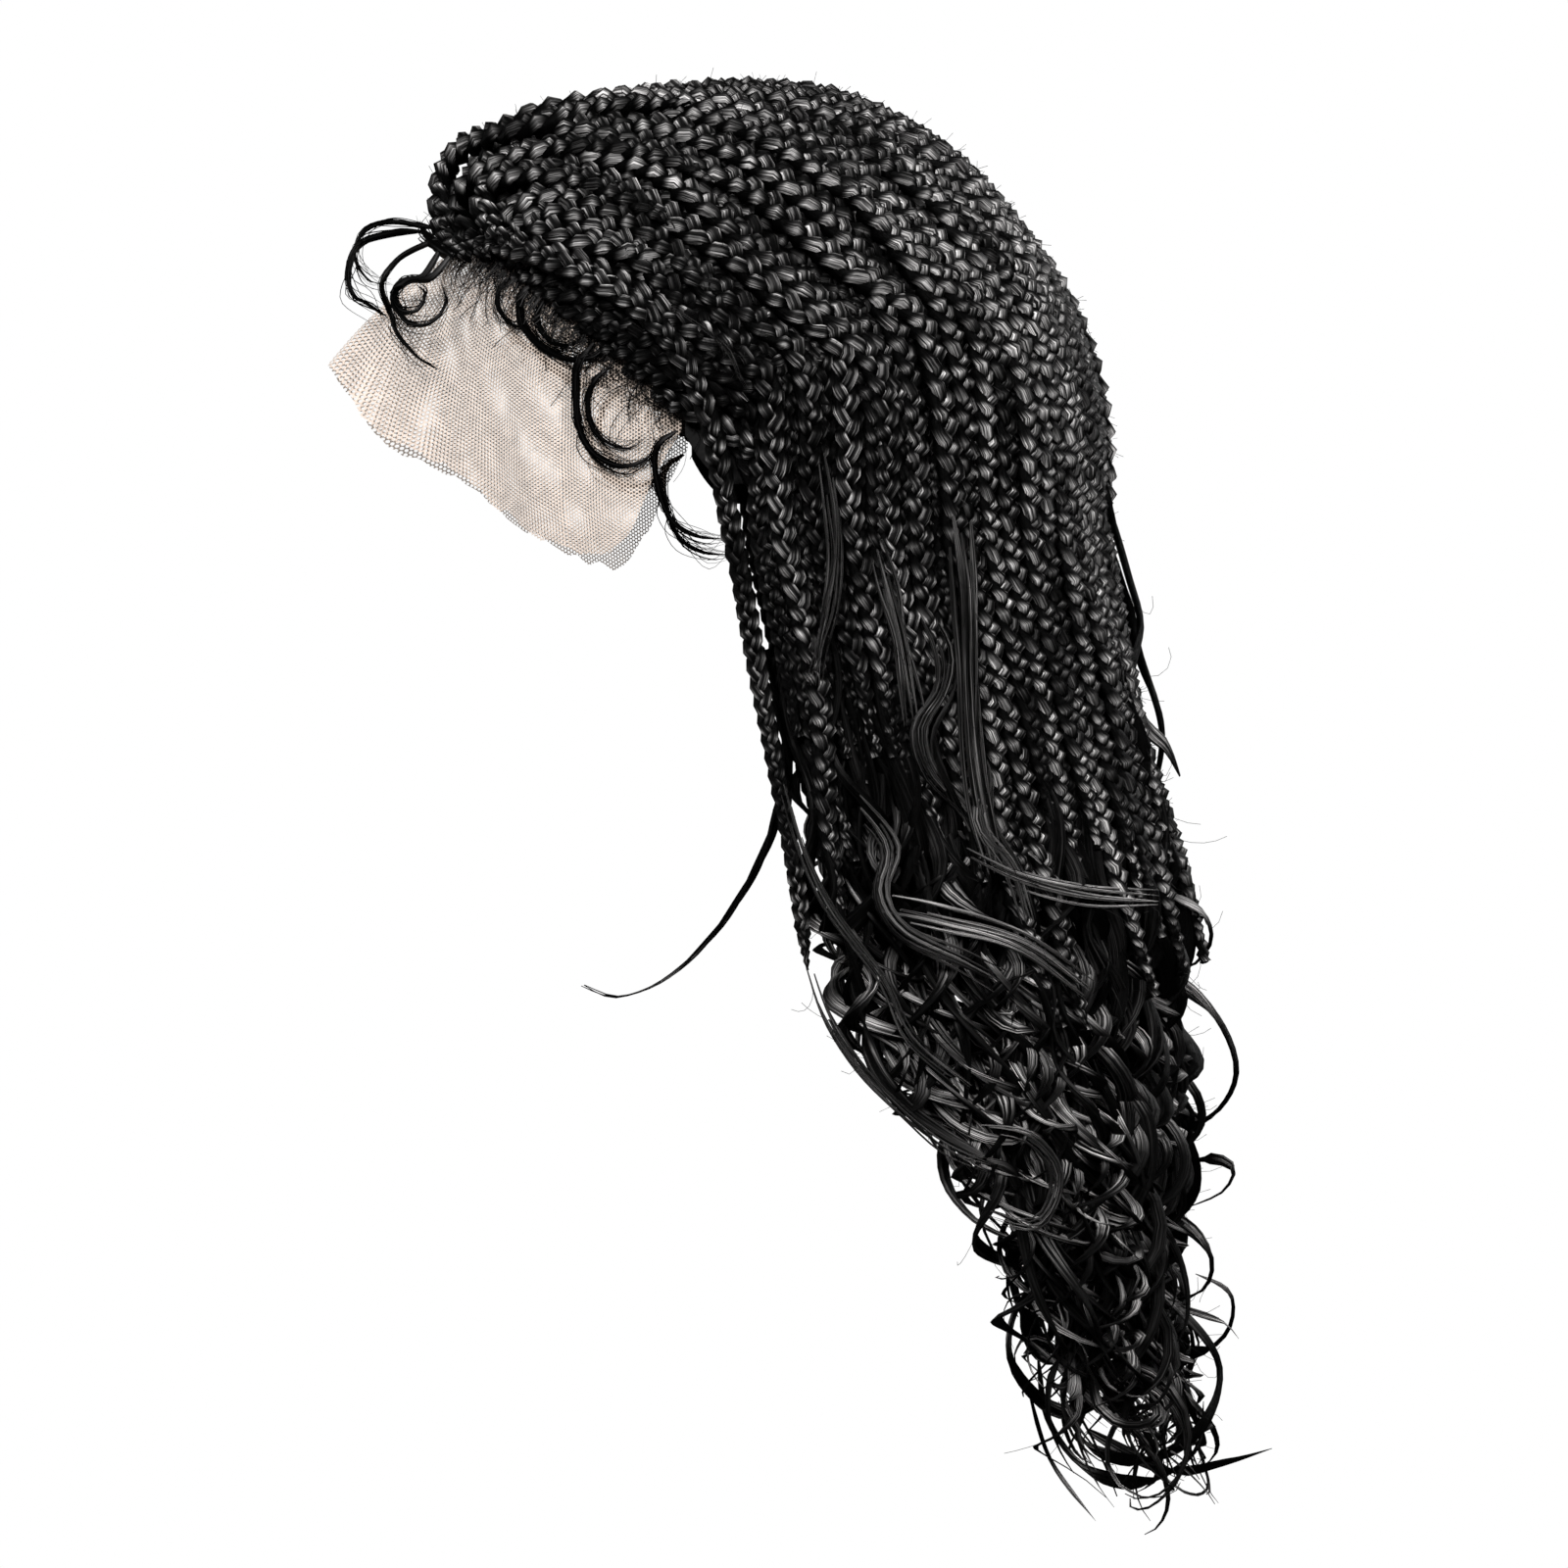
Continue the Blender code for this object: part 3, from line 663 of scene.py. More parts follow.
def net_material(name, colour, cell, hole, cover, roughness, sheen):
    """Knitted net with its cells laid out in the piece's own net map. cover 1 fills the holes."""
    material, tree, shader = new_material(name)
    place = add(tree, "ShaderNodeUVMap", uv_map="net").outputs[0]
    values = {"Place": vector_maths(tree, "SCALE", place, 1 / cell), "Hole": hole}
    mesh = add(tree, "ShaderNodeGroup", values, node_tree=net_lines).outputs
    values = {"Vector": vector_maths(tree, "SCALE", place, 60.0), "Detail": 2.0}
    shade = ramp(tree, add(tree, "ShaderNodeTexNoise", values).outputs[0], 0.8, 1.15, 0.3, 0.7)
    plain = add(tree, "ShaderNodeRGB").outputs[0]
    plain.default_value = (*colour, 1)
    tree.links.new(vector_maths(tree, "SCALE", plain, shade), shader.inputs["Base Color"])
    shader.inputs["Roughness"].default_value = roughness
    shader.inputs["Sheen Weight"].default_value = sheen
    shader.inputs["Specular IOR Level"].default_value = 0.2
    add_relief(tree, shader, 0.5, 0.2 * MM, mesh["Height"])
    if cover < 1:
        alpha = maths(tree, "MAXIMUM", mesh["Thread"], times(tree, attribute(tree, "dense"), 0.9))
        tree.links.new(maths(tree, "MAXIMUM", alpha, cover), shader.inputs["Alpha"])
    return material


fibre_lines = fibre_group()
net_lines = net_group()
braid_hair = hair_material("braided hair", 4.5, 90.0, relief=0.5 * MM, highlight_peak=0.46, plaited=True)
loose_hair = hair_material("loose hair", 10.0, 60.0, relief=0.5 * MM, highlight_peak=0.8)
fine_hair = hair_material("single hairs", 1.0, 40.0, relief=0.05 * MM, highlight_peak=0.06)
tan_lace = net_material(
    "tan lace", (0.40, 0.33, 0.28), cell=1.0 * MM, hole=-0.35, cover=0.05, roughness=0.7, sheen=0.2
)
black_net = net_material(
    "black cap net", (0.003, 0.0028, 0.0028), cell=1.6 * MM, hole=0.2, cover=1.0, roughness=0.9, sheen=0.0
)

# Forms of the hair. Swing, lift and strand width are shares of a plait's width

PLAIT_FORM = {
    "Section spacing": 2.7 * MM,
    "Strand sides": 6,
    "Swing": 0.25,
    "Lift": 0.17,
    "Strand width": 0.22,
    "Tuft": 0.26,
    "Material": braid_hair,
}
LOCK_FORM = {
    "Section spacing": 3.8 * MM,
    "Strand sides": 8,
    "Flatness": 0.36,
    "Ridge": 0.14,
    "Material": loose_hair,
}
TAIL_FORM = LOCK_FORM | {"Flatness": 0.8}
FINE_FORM = {
    "Section spacing": 2.2 * MM,
    "Strand sides": 3,
    "Flatness": 1.0,
    "Ridge": 0.0,
    "Material": fine_hair,
}
STRAY_FORM = FINE_FORM | {"Section spacing": 3.5 * MM}
plait_tree = make_plait_tree(PLAIT_FORM)
strand_tree = make_strand_tree(LOCK_FORM)


# Routes of the plaits and of their loose ends

GroupRoutes = namedtuple("GroupRoutes", "plaits ends")
group_routes = {group: GroupRoutes([], []) for group in GROUPS}


def group_of(s):
    return GROUPS[min(int(s * len(GROUPS)), len(GROUPS) - 1)]


def place_on(side, u):
    """s of a place u in from a side's front edge, and on over the middle where u is more than 1."""
    s = u / 2 if side > 0 else 1 - u / 2
    return min(max(s, 0.003), 0.997)


def seen_place(point):
    """Where in the picture the camera sees a point, in pixels."""
    size = pixel_at(point.x)
    offset = point - PICTURE_MIDDLE
    return PICTURE_PIXELS / 2 + offset.y / size, PICTURE_PIXELS / 2 - offset.z / size


# Outer face of the hair on the near side, by which a place in the picture gets its x
near_points = [hair_points(step / 4, part / 80)[0] for step in range(81) for part in range(41)]
near_side = np.array([(*seen_place(point), point.x) for point in near_points])


def seen_on_hair(across, down, out):
    """Point out above the near side of the hair that the camera sees at a place in the picture."""
    gaps = np.hypot(near_side[:, 0] - across, near_side[:, 1] - down)
    nearest = np.argsort(gaps)[:5]
    weights = 1 / (gaps[nearest] + 4)
    return seen_at(across, down, float((near_side[nearest, 2] * weights).sum() / weights.sum()) + out)


def outward(point):
    """Way out of the hair at a point: from the head's centre above the ears, level below them."""
    away = point - head_centre
    if away.z < 0:
        away.z *= max(0.0, 1 + away.z / (60 * MM))
        away.y -= 0.02
    return away.normalized()


def smooth_line(points, spacing):
    """The points with a smooth curve laid through them, about a spacing apart."""
    line = []
    for i in range(len(points) - 1):
        before, after = points[max(i - 1, 0)], points[min(i + 2, len(points) - 1)]
        steps = max(2, round((points[i + 1] - points[i]).length / spacing))
        line += [smooth(before, points[i], points[i + 1], after, k / steps) for k in range(steps)]
    return line + [points[-1]]


def kept_in(point):
    """The point, moved back where it is further than LEEWAY outside the box of the plain shape."""
    return Vector([min(max(c, low - LEEWAY), high + LEEWAY) for c, low, high in zip(point, *cad_box)])


def head_layer(direction):
    """How thick the hair lies over the head in a direction, in BRAID_LAYERs: most over the brow."""
    turn = math.degrees(math.atan2(direction.z, -direction.y)) % 360
    middle = np.interp(turn, (36, 43, 53, 67, 140, 200), (0.6, 1.35, 1.6, 1.08, 1.0, 1.1))
    side = np.interp(turn, (20, 60, 100, 200), (0.5, 0.8, 1.0, 1.0))
    return float(blend(middle, side, ease(abs(direction.x) * 1.2 - 0.15)))


def eased_bends(points, passes):
    """The points with their sharp bends evened out."""
    for _ in range(passes):
        middle = [(a + 2 * b + c) / 4 for a, b, c in zip(points, points[1:], points[2:])]
        points = [points[0]] + middle + [points[-1]]
    return points


def route_over_head(start, end, end_out, depth, width, seed):
    """Points of a plait from its root over the head to a knee, and from there down to where it hangs."""
    knee = end.slerp(Vector((0, 0, 1)), KNEE_RAISE * ease(start.angle(end) / 1.2))
    before_knee, after_knee = start.angle(knee), knee.angle(end)
    bend = before_knee / (before_knee + after_knee + 0.01)
    steps = max(3, round((before_knee + after_knee) * HEAD_HEIGHT / PLAIT_STEP))
    points = []
    for k in range(steps):
        share = k / steps
        if share < bend:
            direction = start.slerp(knee, share / bend)
        else:
            direction = knee.slerp(end, (share - bend) / (1 - bend))
        sideways = direction.cross(end).normalized()
        sway = 0.035 * wander(seed, share * 2.4) * math.sin(math.pi * share)
        direction = (direction + sideways * sway).normalized()
        travelled = k * PLAIT_STEP
        out = CAP_WALL + HAIR_GAP + BRAID_LAYER * head_layer(direction) - depth
        out = max(out + 1.6 * MM * wander(seed + 9, share * 4), CAP_WALL + 0.4 * width)
        out = blend(CAP_WALL + 0.2 * width, out, ease(travelled / ROOT_RISE))
        point = off_head(direction, blend(out, end_out, ease(share * 2 - 1)))
        points.append(behind_hairline(point, blend(0.1, 0.5, ease(travelled / (14 * MM))) * width))
    return points


def route_down(side, hang, first_row, last_row, depth, seed):
    """Points of a plait that hangs with the hair, from one row to another."""
    points = []
    steps = max(4, round((last_row - first_row) * 5))
    for k in range(steps + 1):
        row = blend(first_row, last_row, k / steps)
        u = hang + HANG_SWAY * wander(seed, row * 0.5) * min(1, (row - first_row) / 2)
        outer, inner = hair_points(row, place_on(side, u))
        sunk = min(depth + 1.8 * MM * wander(seed + 9, row * 0.8) * min(1, k / 4), (outer - inner).length)
        points.append(outer - (outer - inner).normalized() * sunk)
    return points


def plait_route(side, hang, root, last_row, depth, width, seed):
    """Route of a plait, slimmer below the head and at its end."""
    start = (hair_points(root[0], place_on(side, root[1]))[0] - head_centre).normalized()
    join_row = JOIN_ROW + 0.5 * wander(seed + 1, 0.3)
    joint, inner = hair_points(join_row, place_on(side, hang))
    joint -= (joint - inner).normalized() * depth
    end = (joint - head_centre).normalized()
    end_out = (joint - head_centre).length - head_reach(end, 0)
    over = route_over_head(start, end, end_out, depth, width, seed)
    points = eased_bends(over + route_down(side, hang, join_row, last_row, depth, seed), BEND_PASSES)
    last = len(points) - 1
    widths = []
    for k in range(last + 1):
        slim = blend(1.0, 0.85, ease((k - 0.35 * len(over)) / len(over)))
        slim *= blend(1.0, 0.55, ease((k - last) / 6 + 1))
        widths.append(width * slim * blend(0.6, 1.0, ease(k / 4)))
    # Deeper plaits get less painted highlight: painted shade between the outer plaits
    painted_light = blend(1.1, 0.72, ease((depth / MM - 4.5) / 4.5))
    return Route(points, widths, (seed * 0.137) % 1, painted_light)


def loose_route(s, depth, first_row, last_row, width, seed, curl, turns):
    """Route of a loose lock: straight out of its plait, then round in curls that widen to a radius."""
    points, outs, widths = [], [], []
    down = Vector((0, 0, -1))
    phase = math.tau * rng.random()
    tilt = rng.uniform(-1.1, 1.1)
    upright = rng.uniform(0.2, 1.0)
    for k in range(LOCK_STEPS + 1):
        share = k / LOCK_STEPS
        row = blend(first_row, last_row, share)
        place = min(max(s + 0.03 * wander(seed, row * 0.5) * share, 0.0), 1.0)
        outer, inner = hair_points(row, place)
        out = (outer - inner).normalized()
        across = down.cross(out).normalized()
        size = curl * ease((share + 0.02) / 0.5)
        centre = outer - out * (depth + 3 * MM * wander(seed + 5, row) + 0.8 * size)
        at_back = ease(1.6 - abs(4 * place - 2))
        centre.y -= BACK_PULL * ease((row - 12.5) / 3) * at_back * (1 - 0.7 * ease((row - 17) / 2))
        angle = phase + math.tau * turns * share**1.2
        up_share = upright * ease((share - 0.2) / 0.4)
        first_way = (across * math.cos(tilt) + out * math.sin(tilt)).normalized()
        second_way = (out * math.cos(tilt) - across * math.sin(tilt)) * (1 - 0.6 * up_share)
        second_way += down * up_share
        ring = first_way * math.cos(angle) + second_way * math.sin(angle)
        points.append(kept_in(centre + ring * size))
        outs.append(blend(out, ring, 0.8 * ease(share * 3)))
        widths.append(width * blend(1.0, 0.42, share) * min(1, 0.12 + 6 * (1 - share), 0.25 + 12 * share))
    # Small random amount of painted highlight along the whole lock
    route = Route(points, widths, (seed * 0.291) % 1, rng.uniform(0.0, 0.13), outs)
    return route.turned(lambda along: 0.6 * wander(seed + 8, along * 14))


def lock_route(places, width, tip_share, tone, painted_light=0.0, spacing=4 * MM, skip=0):
    """Route through a few points, with its width at the start, the tip's share of it and its painted
    highlight.
    """
    points = smooth_line(places, spacing)[skip:]
    last = len(points) - 1
    widths = []
    for k in range(last + 1):
        ends = min(1, 0.4 + 0.15 * k, 0.2 + 0.2 * (last - k))
        widths.append(width * blend(1.0, tip_share, (k / last) ** 2) * ends)
    return Route(points, widths, tone, painted_light)


def add_plait(side, hang, root, last_row, depth, width, seed, ends=3):
    """A plait and the loose locks that leave it. root is a row and a place in from the front edge."""
    s = place_on(side, hang + HANG_SWAY * wander(seed, last_row * 0.5))
    plait = plait_route(side, hang, root, last_row, depth, width, seed)
    group_routes[group_of(place_on(side, hang))].plaits.append(plait)
    longest = LAST_ROW - rng.uniform(0.0, 2.2)
    for i in range(ends):
        last = longest - rng.uniform(0, 2.2) * (i > 0)
        route = loose_route(
            s + rng.uniform(-0.006, 0.006),
            depth + rng.uniform(-1.5, 1.5) * MM,
            last_row - 0.7,
            last,
            width=rng.uniform(4.0, 9.5) * MM,
            seed=seed + 31 * i,
            curl=rng.uniform(5, 13) * MM,
            turns=rng.uniform(2.8, 6.2) * rng.choice((-1, 1)),
        )
        plait.ends.append(route)
        group_routes[group_of(s)].ends.append(route)


def lay_plaits(side):
    """The plaits of one side: outer, from the front hairline, under and inner ones."""
    first = 1 if side > 0 else 501
    for i in range(2 * OUTER_PLAITS):
        under = i % 2
        hang = 0.03 + 0.97 * (i / 2 / OUTER_PLAITS) ** 0.92 + rng.uniform(-0.006, 0.006)
        root_row = max(0.0, 0.2 + 7.0 * hang - 2.6 * hang * hang + rng.uniform(-0.15, 0.15))
        root_u = min(0.97, 0.72 + 1.2 * hang) - (0.0, 0.03, 0.07, 0.03)[i % 4]
        width = PLAIT_WIDTH * rng.uniform(0.96, 1.08)
        depth = UNDER_DEPTH if under else OUTER_DEPTH + rng.uniform(-0.4, 0.6) * MM
        last = rng.uniform(11.9, 14.9) - under
        add_plait(side, hang, (root_row, root_u), last, depth, width, first + i, 3 - under)
    for i in range(HAIRLINE_PLAITS):
        root_u = 0.07 + 0.93 * i / HAIRLINE_PLAITS
        hang = 0.01 + 0.36 * (i / HAIRLINE_PLAITS) ** 1.2
        last = rng.uniform(11.0, 13.5)
        add_plait(side, hang, (0.0, root_u), last, HAIRLINE_DEPTH, PLAIT_WIDTH * 0.92, first + 50 + i, 2)
    for i in range(INNER_PLAITS):
        hang = (i + 0.5) / INNER_PLAITS
        row = rng.uniform(7.3, 8.6)
        last = rng.uniform(12.5, 13.8)
        add_plait(side, hang, (row, hang), last, INNER_DEPTH, PLAIT_WIDTH * 0.9, first + 150 + i, 2)


MiddlePlait = namedtuple("MiddlePlait", "hang root last_row depth seed")
for side in (1, -1):
    lay_plaits(side)
    for plait in (
        MiddlePlait(0.975, (0.0, 0.99), 13.4, 5.5 * MM, 903),
        MiddlePlait(0.93, (0.5, 0.94), 12.6, 6.5 * MM, 907),
        MiddlePlait(0.95, (1.0, 0.88), 13.0, 8.6 * MM, 911),
    ):
        seed = plait.seed + side
        add_plait(side, plait.hang, plait.root, plait.last_row, plait.depth, PLAIT_WIDTH, seed)
add_plait(1, 1.0, (4.6, 1.0), 14.0, 4.6 * MM, PLAIT_WIDTH, 901)
add_plait(1, 0.99, (0.6, 1.0), 13.0, 9.0 * MM, PLAIT_WIDTH, 902)


def spread(routes):
    """Moves plaits that lie too close together apart sideways. Roots stay, and loose ends follow."""
    starts = [route.points for route in routes]
    for _ in range(SPREAD_PASSES):
        tree = KDTree(sum(len(route.points) for route in routes))
        owners = []
        for number, route in enumerate(routes):
            for point in route.points:
                tree.insert(point, len(owners))
                owners.append(number)
        tree.balance()
        for number, (start, route) in enumerate(zip(starts, routes)):
            moves = []
            for k, point in enumerate(route.points):
                side = step_at(route.points, k).cross(route.outs[k]).normalized()
                push = 0.0
                for near, index, gap in tree.find_range(point, LEAST_GAP):
                    if owners[index] != number:
                        push += math.copysign(1 - gap / LEAST_GAP, (point - near).dot(side))
                push = min(max(0.35 * push, -1), 1) * ease(k / 9) * MM
                move = point + side * push - start[k]
                move.y = max(move.y, -2 * MM)
                if move.length > FURTHEST_MOVE:
                    move *= FURTHEST_MOVE / move.length
                if k > 3:
                    placed = start[k] + move
                    move = move + behind_hairline(placed, 0.45 * route.widths[k]) - placed
                moves.append(move)
            route.lay([begun + move for begun, move in zip(start, eased_bends(moves, 2))])
    for start, route in zip(starts, routes):
        shift = route.points[-1] - start[-1]
        for end in route.ends:
            end.points = [p + shift * (1 - ease(k / 18)) for k, p in enumerate(end.points)]
        route.turned(lambda along, seed=97 * route.tone: 0.4 * wander(seed, along * 7))


spread([plait for routes in group_routes.values() for plait in routes.plaits])

# Plaits and locks of the near side that go through points of the picture, in pixels. width and out are
# in mm, and tip is the tip's share of the width. out is from the hair's outer face
PictureLock = namedtuple("PictureLock", "width tip out places")
FRONT_PLAITS = [PictureLock(*row) for row in (
    (9.0, 0.7, -2, ((500, 252), (536, 258), (574, 270), (612, 288), (652, 314), (686, 350), (712, 396),
     (728, 444), (737, 490), (746, 538), (754, 576), (761, 615), (776, 700), (795, 800), (813, 900),
     (824, 990))),
    (10.5, 0.8, 0, ((478, 262), (458, 238), (450, 208), (453, 180), (468, 154), (500, 138), (545, 128),
     (600, 112), (650, 106), (705, 104))),
    (10.0, 0.8, -3, ((500, 262), (478, 242), (468, 215), (474, 190), (494, 172), (525, 160), (570, 150),
     (620, 150), (680, 160), (730, 186))),
    (10.0, 0.8, -2, ((520, 250), (500, 226), (492, 200), (508, 182), (545, 176), (590, 182), (640, 200),
     (690, 232))),
    (10.0, 0.9, -6, ((534, 268), (522, 242), (538, 222), (572, 214), (612, 230), (652, 262), (694, 304),
     (730, 352), (762, 410))),
    (10.0, 0.9, -5, ((512, 254), (514, 226), (540, 204), (586, 200), (630, 216), (676, 248), (718, 292),
     (752, 344), (780, 400))),
)]
LOOSE_LOCKS = [PictureLock(*row) for row in (
    (8.0, 0.5, 1, ((842, 462), (850, 520), (852, 570), (846, 620), (836, 660), (832, 700))),
    (10.0, 0.6, 1, ((893, 552), (905, 600), (916, 650), (926, 700), (932, 740))),
    (10.0, 0.6, 1, ((978, 525), (985, 600), (988, 680), (992, 760), (1003, 830), (1018, 890))),
    (2.5, 0.3, 2, ((683, 312), (716, 334), (743, 358), (754, 383), (766, 404))),
    (10.0, 0.5, 1, ((948, 630), (968, 665), (962, 705), (940, 745), (952, 790), (990, 830),
     (1010, 880))),
    (9.0, 0.5, 1, ((982, 740), (1006, 790), (1000, 840), (1032, 885), (1052, 940))),
    (10.0, 0.5, 1, ((872, 815), (905, 865), (897, 910), (920, 950), (978, 980), (1020, 1000))),
    (10.0, 0.5, 1, ((900, 925), (960, 938), (1040, 962), (1110, 1012))),
    (8.0, 0.5, 1, ((985, 868), (1040, 896), (1110, 914), (1182, 918))),
    (6.5, 0.4, -2, ((824, 985), (846, 1040), (880, 1092), (920, 1135), (966, 1172), (1010, 1190))),
    (5.5, 0.4, -1, ((800, 800), (820, 870), (848, 930), (900, 1000), (930, 1060), (990, 1110))),
    (6.0, 0.4, 0, ((1000, 1150), (1050, 1160), (1080, 1200), (1060, 1250), (1010, 1240))),
)]
# out is from the wig's middle plane, as in SWIRLS
BACK_LOCKS = [PictureLock(*row) for row in (
    (5.0, 0.5, 6, ((1112, 470), (1134, 530), (1152, 590), (1164, 640), (1152, 700), (1168, 740),
     (1190, 762), (1204, 792))),
    (5.0, 0.4, -8, ((1126, 540), (1148, 610), (1162, 668), (1178, 712), (1186, 752), (1178, 800),
     (1158, 842), (1166, 892))),
    (3.5, 0.4, 10, ((1130, 890), (1190, 912), (1226, 930), (1236, 960), (1216, 986), (1184, 990))),
    (5.0, 0.4, 18, ((1110, 955), (1180, 990), (1236, 1030), (1262, 1090), (1240, 1136), (1190, 1160))),
    (4.0, 0.6, 44, ((1080, 1100), (1098, 1055), (1140, 1028), (1182, 1050), (1190, 1098), (1160, 1130),
     (1118, 1118))),
    (3.2, 0.4, 8, ((1150, 1232), (1190, 1196), (1234, 1182), (1260, 1192), (1248, 1216), (1212, 1232))),
    (4.0, 0.4, 24, ((1140, 1230), (1206, 1248), (1236, 1282), (1228, 1316), (1190, 1330))),
    (3.0, 0.4, 15, ((1160, 1320), (1216, 1338), (1250, 1350), (1264, 1366))),
    (3.0, 0.3, 30, ((1050, 1420), (1072, 1490), (1118, 1552))),
    (3.0, 0.3, 12, ((1110, 1460), (1190, 1500), (1250, 1492), (1298, 1478))),
    (4.0, 0.5, 50, ((1090, 1290), (1040, 1330), (1032, 1390), (1080, 1440), (1136, 1420), (1150, 1370),
     (1120, 1340))),
    (4.5, 0.4, 36, ((1130, 1290), (1196, 1330), (1244, 1392), (1226, 1456), (1170, 1490), (1112, 1476),
     (1080, 1430))),
    (3.5, 0.4, 0, ((1150, 1350), (1216, 1380), (1252, 1360), (1256, 1320), (1220, 1300))),
    (4.0, 0.5, 26, ((1060, 1390), (1070, 1450), (1110, 1500), (1170, 1512), (1220, 1480), (1228, 1430))),
)]


def beside(places, offset, seed):
    """The places moved to one side by an offset in pixels that wanders along them."""
    corners = [Vector(place) for place in places]
    moved = []
    for k, (across, down) in enumerate(places):
        run = step_at(corners, k).normalized()
        shift = offset * (1 + 0.5 * wander(seed, 0.7 * k)) + 1.5 * wander(seed + 20, 0.9 * k)
        moved.append((across - run.y * shift, down + run.x * shift))
    return moved


def loose_strand(lock, i, k):
    """The k-th of the strands, from -2 to 2, that a loose lock over the plaits is made of."""
    points = []
    for across, down in beside(lock.places, (0.14 * k * lock.width * MM) / PIXEL, 5 * i + k):
        wave = math.sin(0.085 * down + 0.06 * across + (1.7 * i + 0.5 * k))
        points.append(seen_on_hair(across, down, lock.out * MM + 2.2 * MM * wave))
    width = (0.5 - 0.06 * abs(k)) * lock.width * MM
    # 0.34: strength of the painted highlight on these locks
    return lock_route(points, width, lock.tip, 0.17 * i + 0.3 * k, 0.34, skip=(3 * k + i) % 5)


def lay_picture_locks():
    for i, lock in enumerate(FRONT_PLAITS):
        points = [seen_on_hair(*place, lock.out * MM) for place in lock.places]
        # 1.0: full painted highlight on these plaits
        route = lock_route(points, lock.width * MM, lock.tip, 0.23 * i, 1.0)
        group_routes["temple_left"].plaits.append(route)
    for i, lock in enumerate(LOOSE_LOCKS):
        group_routes["side_left"].ends.extend(loose_strand(lock, i, k) for k in (-2, -1, 0, 1, 2))
    for i, lock in enumerate(BACK_LOCKS):
        points = []
        for across, down in lock.places:
            x = lock.out * MM + 11 * MM * math.sin(down * 0.031 + across * 0.02)
            points.append(seen_at(across, down, x))
        route = lock_route(points, 1.4 * lock.width * MM, lock.tip, 0.29 * i)
        group_routes["crown"].ends.append(route.turned(lambda along: 0.8 + along * 12))


lay_picture_locks()


# Pieces of hair


def settle(piece, slot, *nodes):
    """Has a piece ride with the wig and hides the nodes it replaces. slot is not used."""
    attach(piece, "root")
    if nodes:
        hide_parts(*nodes)
    return piece


for group in GROUPS:
    routes = group_routes[group]
    settle(grow(f"plaits_{group}", routes.plaits, plait_tree, PLAIT_FORM), "hair", f"braids_{group}")
    settle(grow(f"loose_ends_{group}", routes.ends, strand_tree, LOCK_FORM), "hair", f"curls_{group}")

# Lock of the right side that comes forward over the shoulder. out: from the head's side, in FLAREs;
# ahead: off the front edge, in FRONT_SWEEPs; drop: below the ears, in HANG_LENGTHs
LockPoint = namedtuple("LockPoint", "out ahead drop")
FRONT_LOCK = [LockPoint(*row) for row in (
    (0.28, 0.000, 0.170),
    (0.34, 0.000, 0.275),
    (0.40, 0.053, 0.330),
    (0.40, 0.138, 0.385),
    (0.30, 0.296, 0.450),
    (0.10, 0.503, 0.500),
    (-0.05, 0.681, 0.520),
    (-0.15, 0.768, 0.508),
)]


def make_front_lock():
    """Three strands that wind round one another and taper to the tip."""
    points = []
    for p in FRONT_LOCK:
        front = np.interp(p.drop, [row.drop for row in HANG_ROWS], [row.front for row in HANG_ROWS])
        level = -HEAD_HEIGHT - EAR_DROP - p.drop * HANG_LENGTH
        along = (front - p.ahead) * FRONT_SWEEP - 4 * MM
        points.append(Vector((-HEAD_HALF_WIDTH - p.out * FLARE, along, level)))
    line = smooth_line(points, 3 * MM)
    last = len(line) - 1
    routes = []
    for i in range(3):
        strand = []
        for k, point in enumerate(line):
            angle = math.tau * (i / 3 + k / 16)
            way = Vector((math.cos(angle), math.sin(angle), 0.3 * math.sin(angle)))
            strand.append(point + way * 1.3 * MM * (1 - 0.5 * k / last))
        widths = [2.6 * MM * blend(1, 0.12, (k / last) ** 1.5) for k in range(last + 1)]
        routes.append(Route(strand, widths, 0.3 * i))
    settle(grow("front_tail_right", routes, strand_tree, TAIL_FORM), "hair", "front_lock_right")


make_front_lock()

# Fine hair laid on the lace in swirls, and single hairs that stand off the plaits and curls

SWIRLS = [PictureLock(*row) for row in (
    (1.5, 0.2, 10, ((430, 236), (405, 237), (369, 248), (356, 273), (359, 299), (377, 312), (396, 324))),
    (1.3, 0.2, 12, ((452, 250), (434, 280), (418, 286), (403, 299), (409, 316), (427, 316), (434, 300),
     (424, 290))),
    (1.4, 0.2, 14, ((462, 258), (440, 283), (412, 286), (401, 305), (414, 328), (438, 330), (455, 311),
     (450, 288))),
    (1.2, 0.2, 9, ((446, 244), (410, 262), (390, 290), (399, 321), (405, 340), (418, 356), (428, 366),
     (447, 377))),
    (1.2, 0.2, 6, ((440, 232), (402, 226), (372, 236), (362, 262), (376, 286), (398, 290))),
    (2.6, 0.3, 14, ((462, 262), (444, 250), (432, 236), (428, 226))),
)]
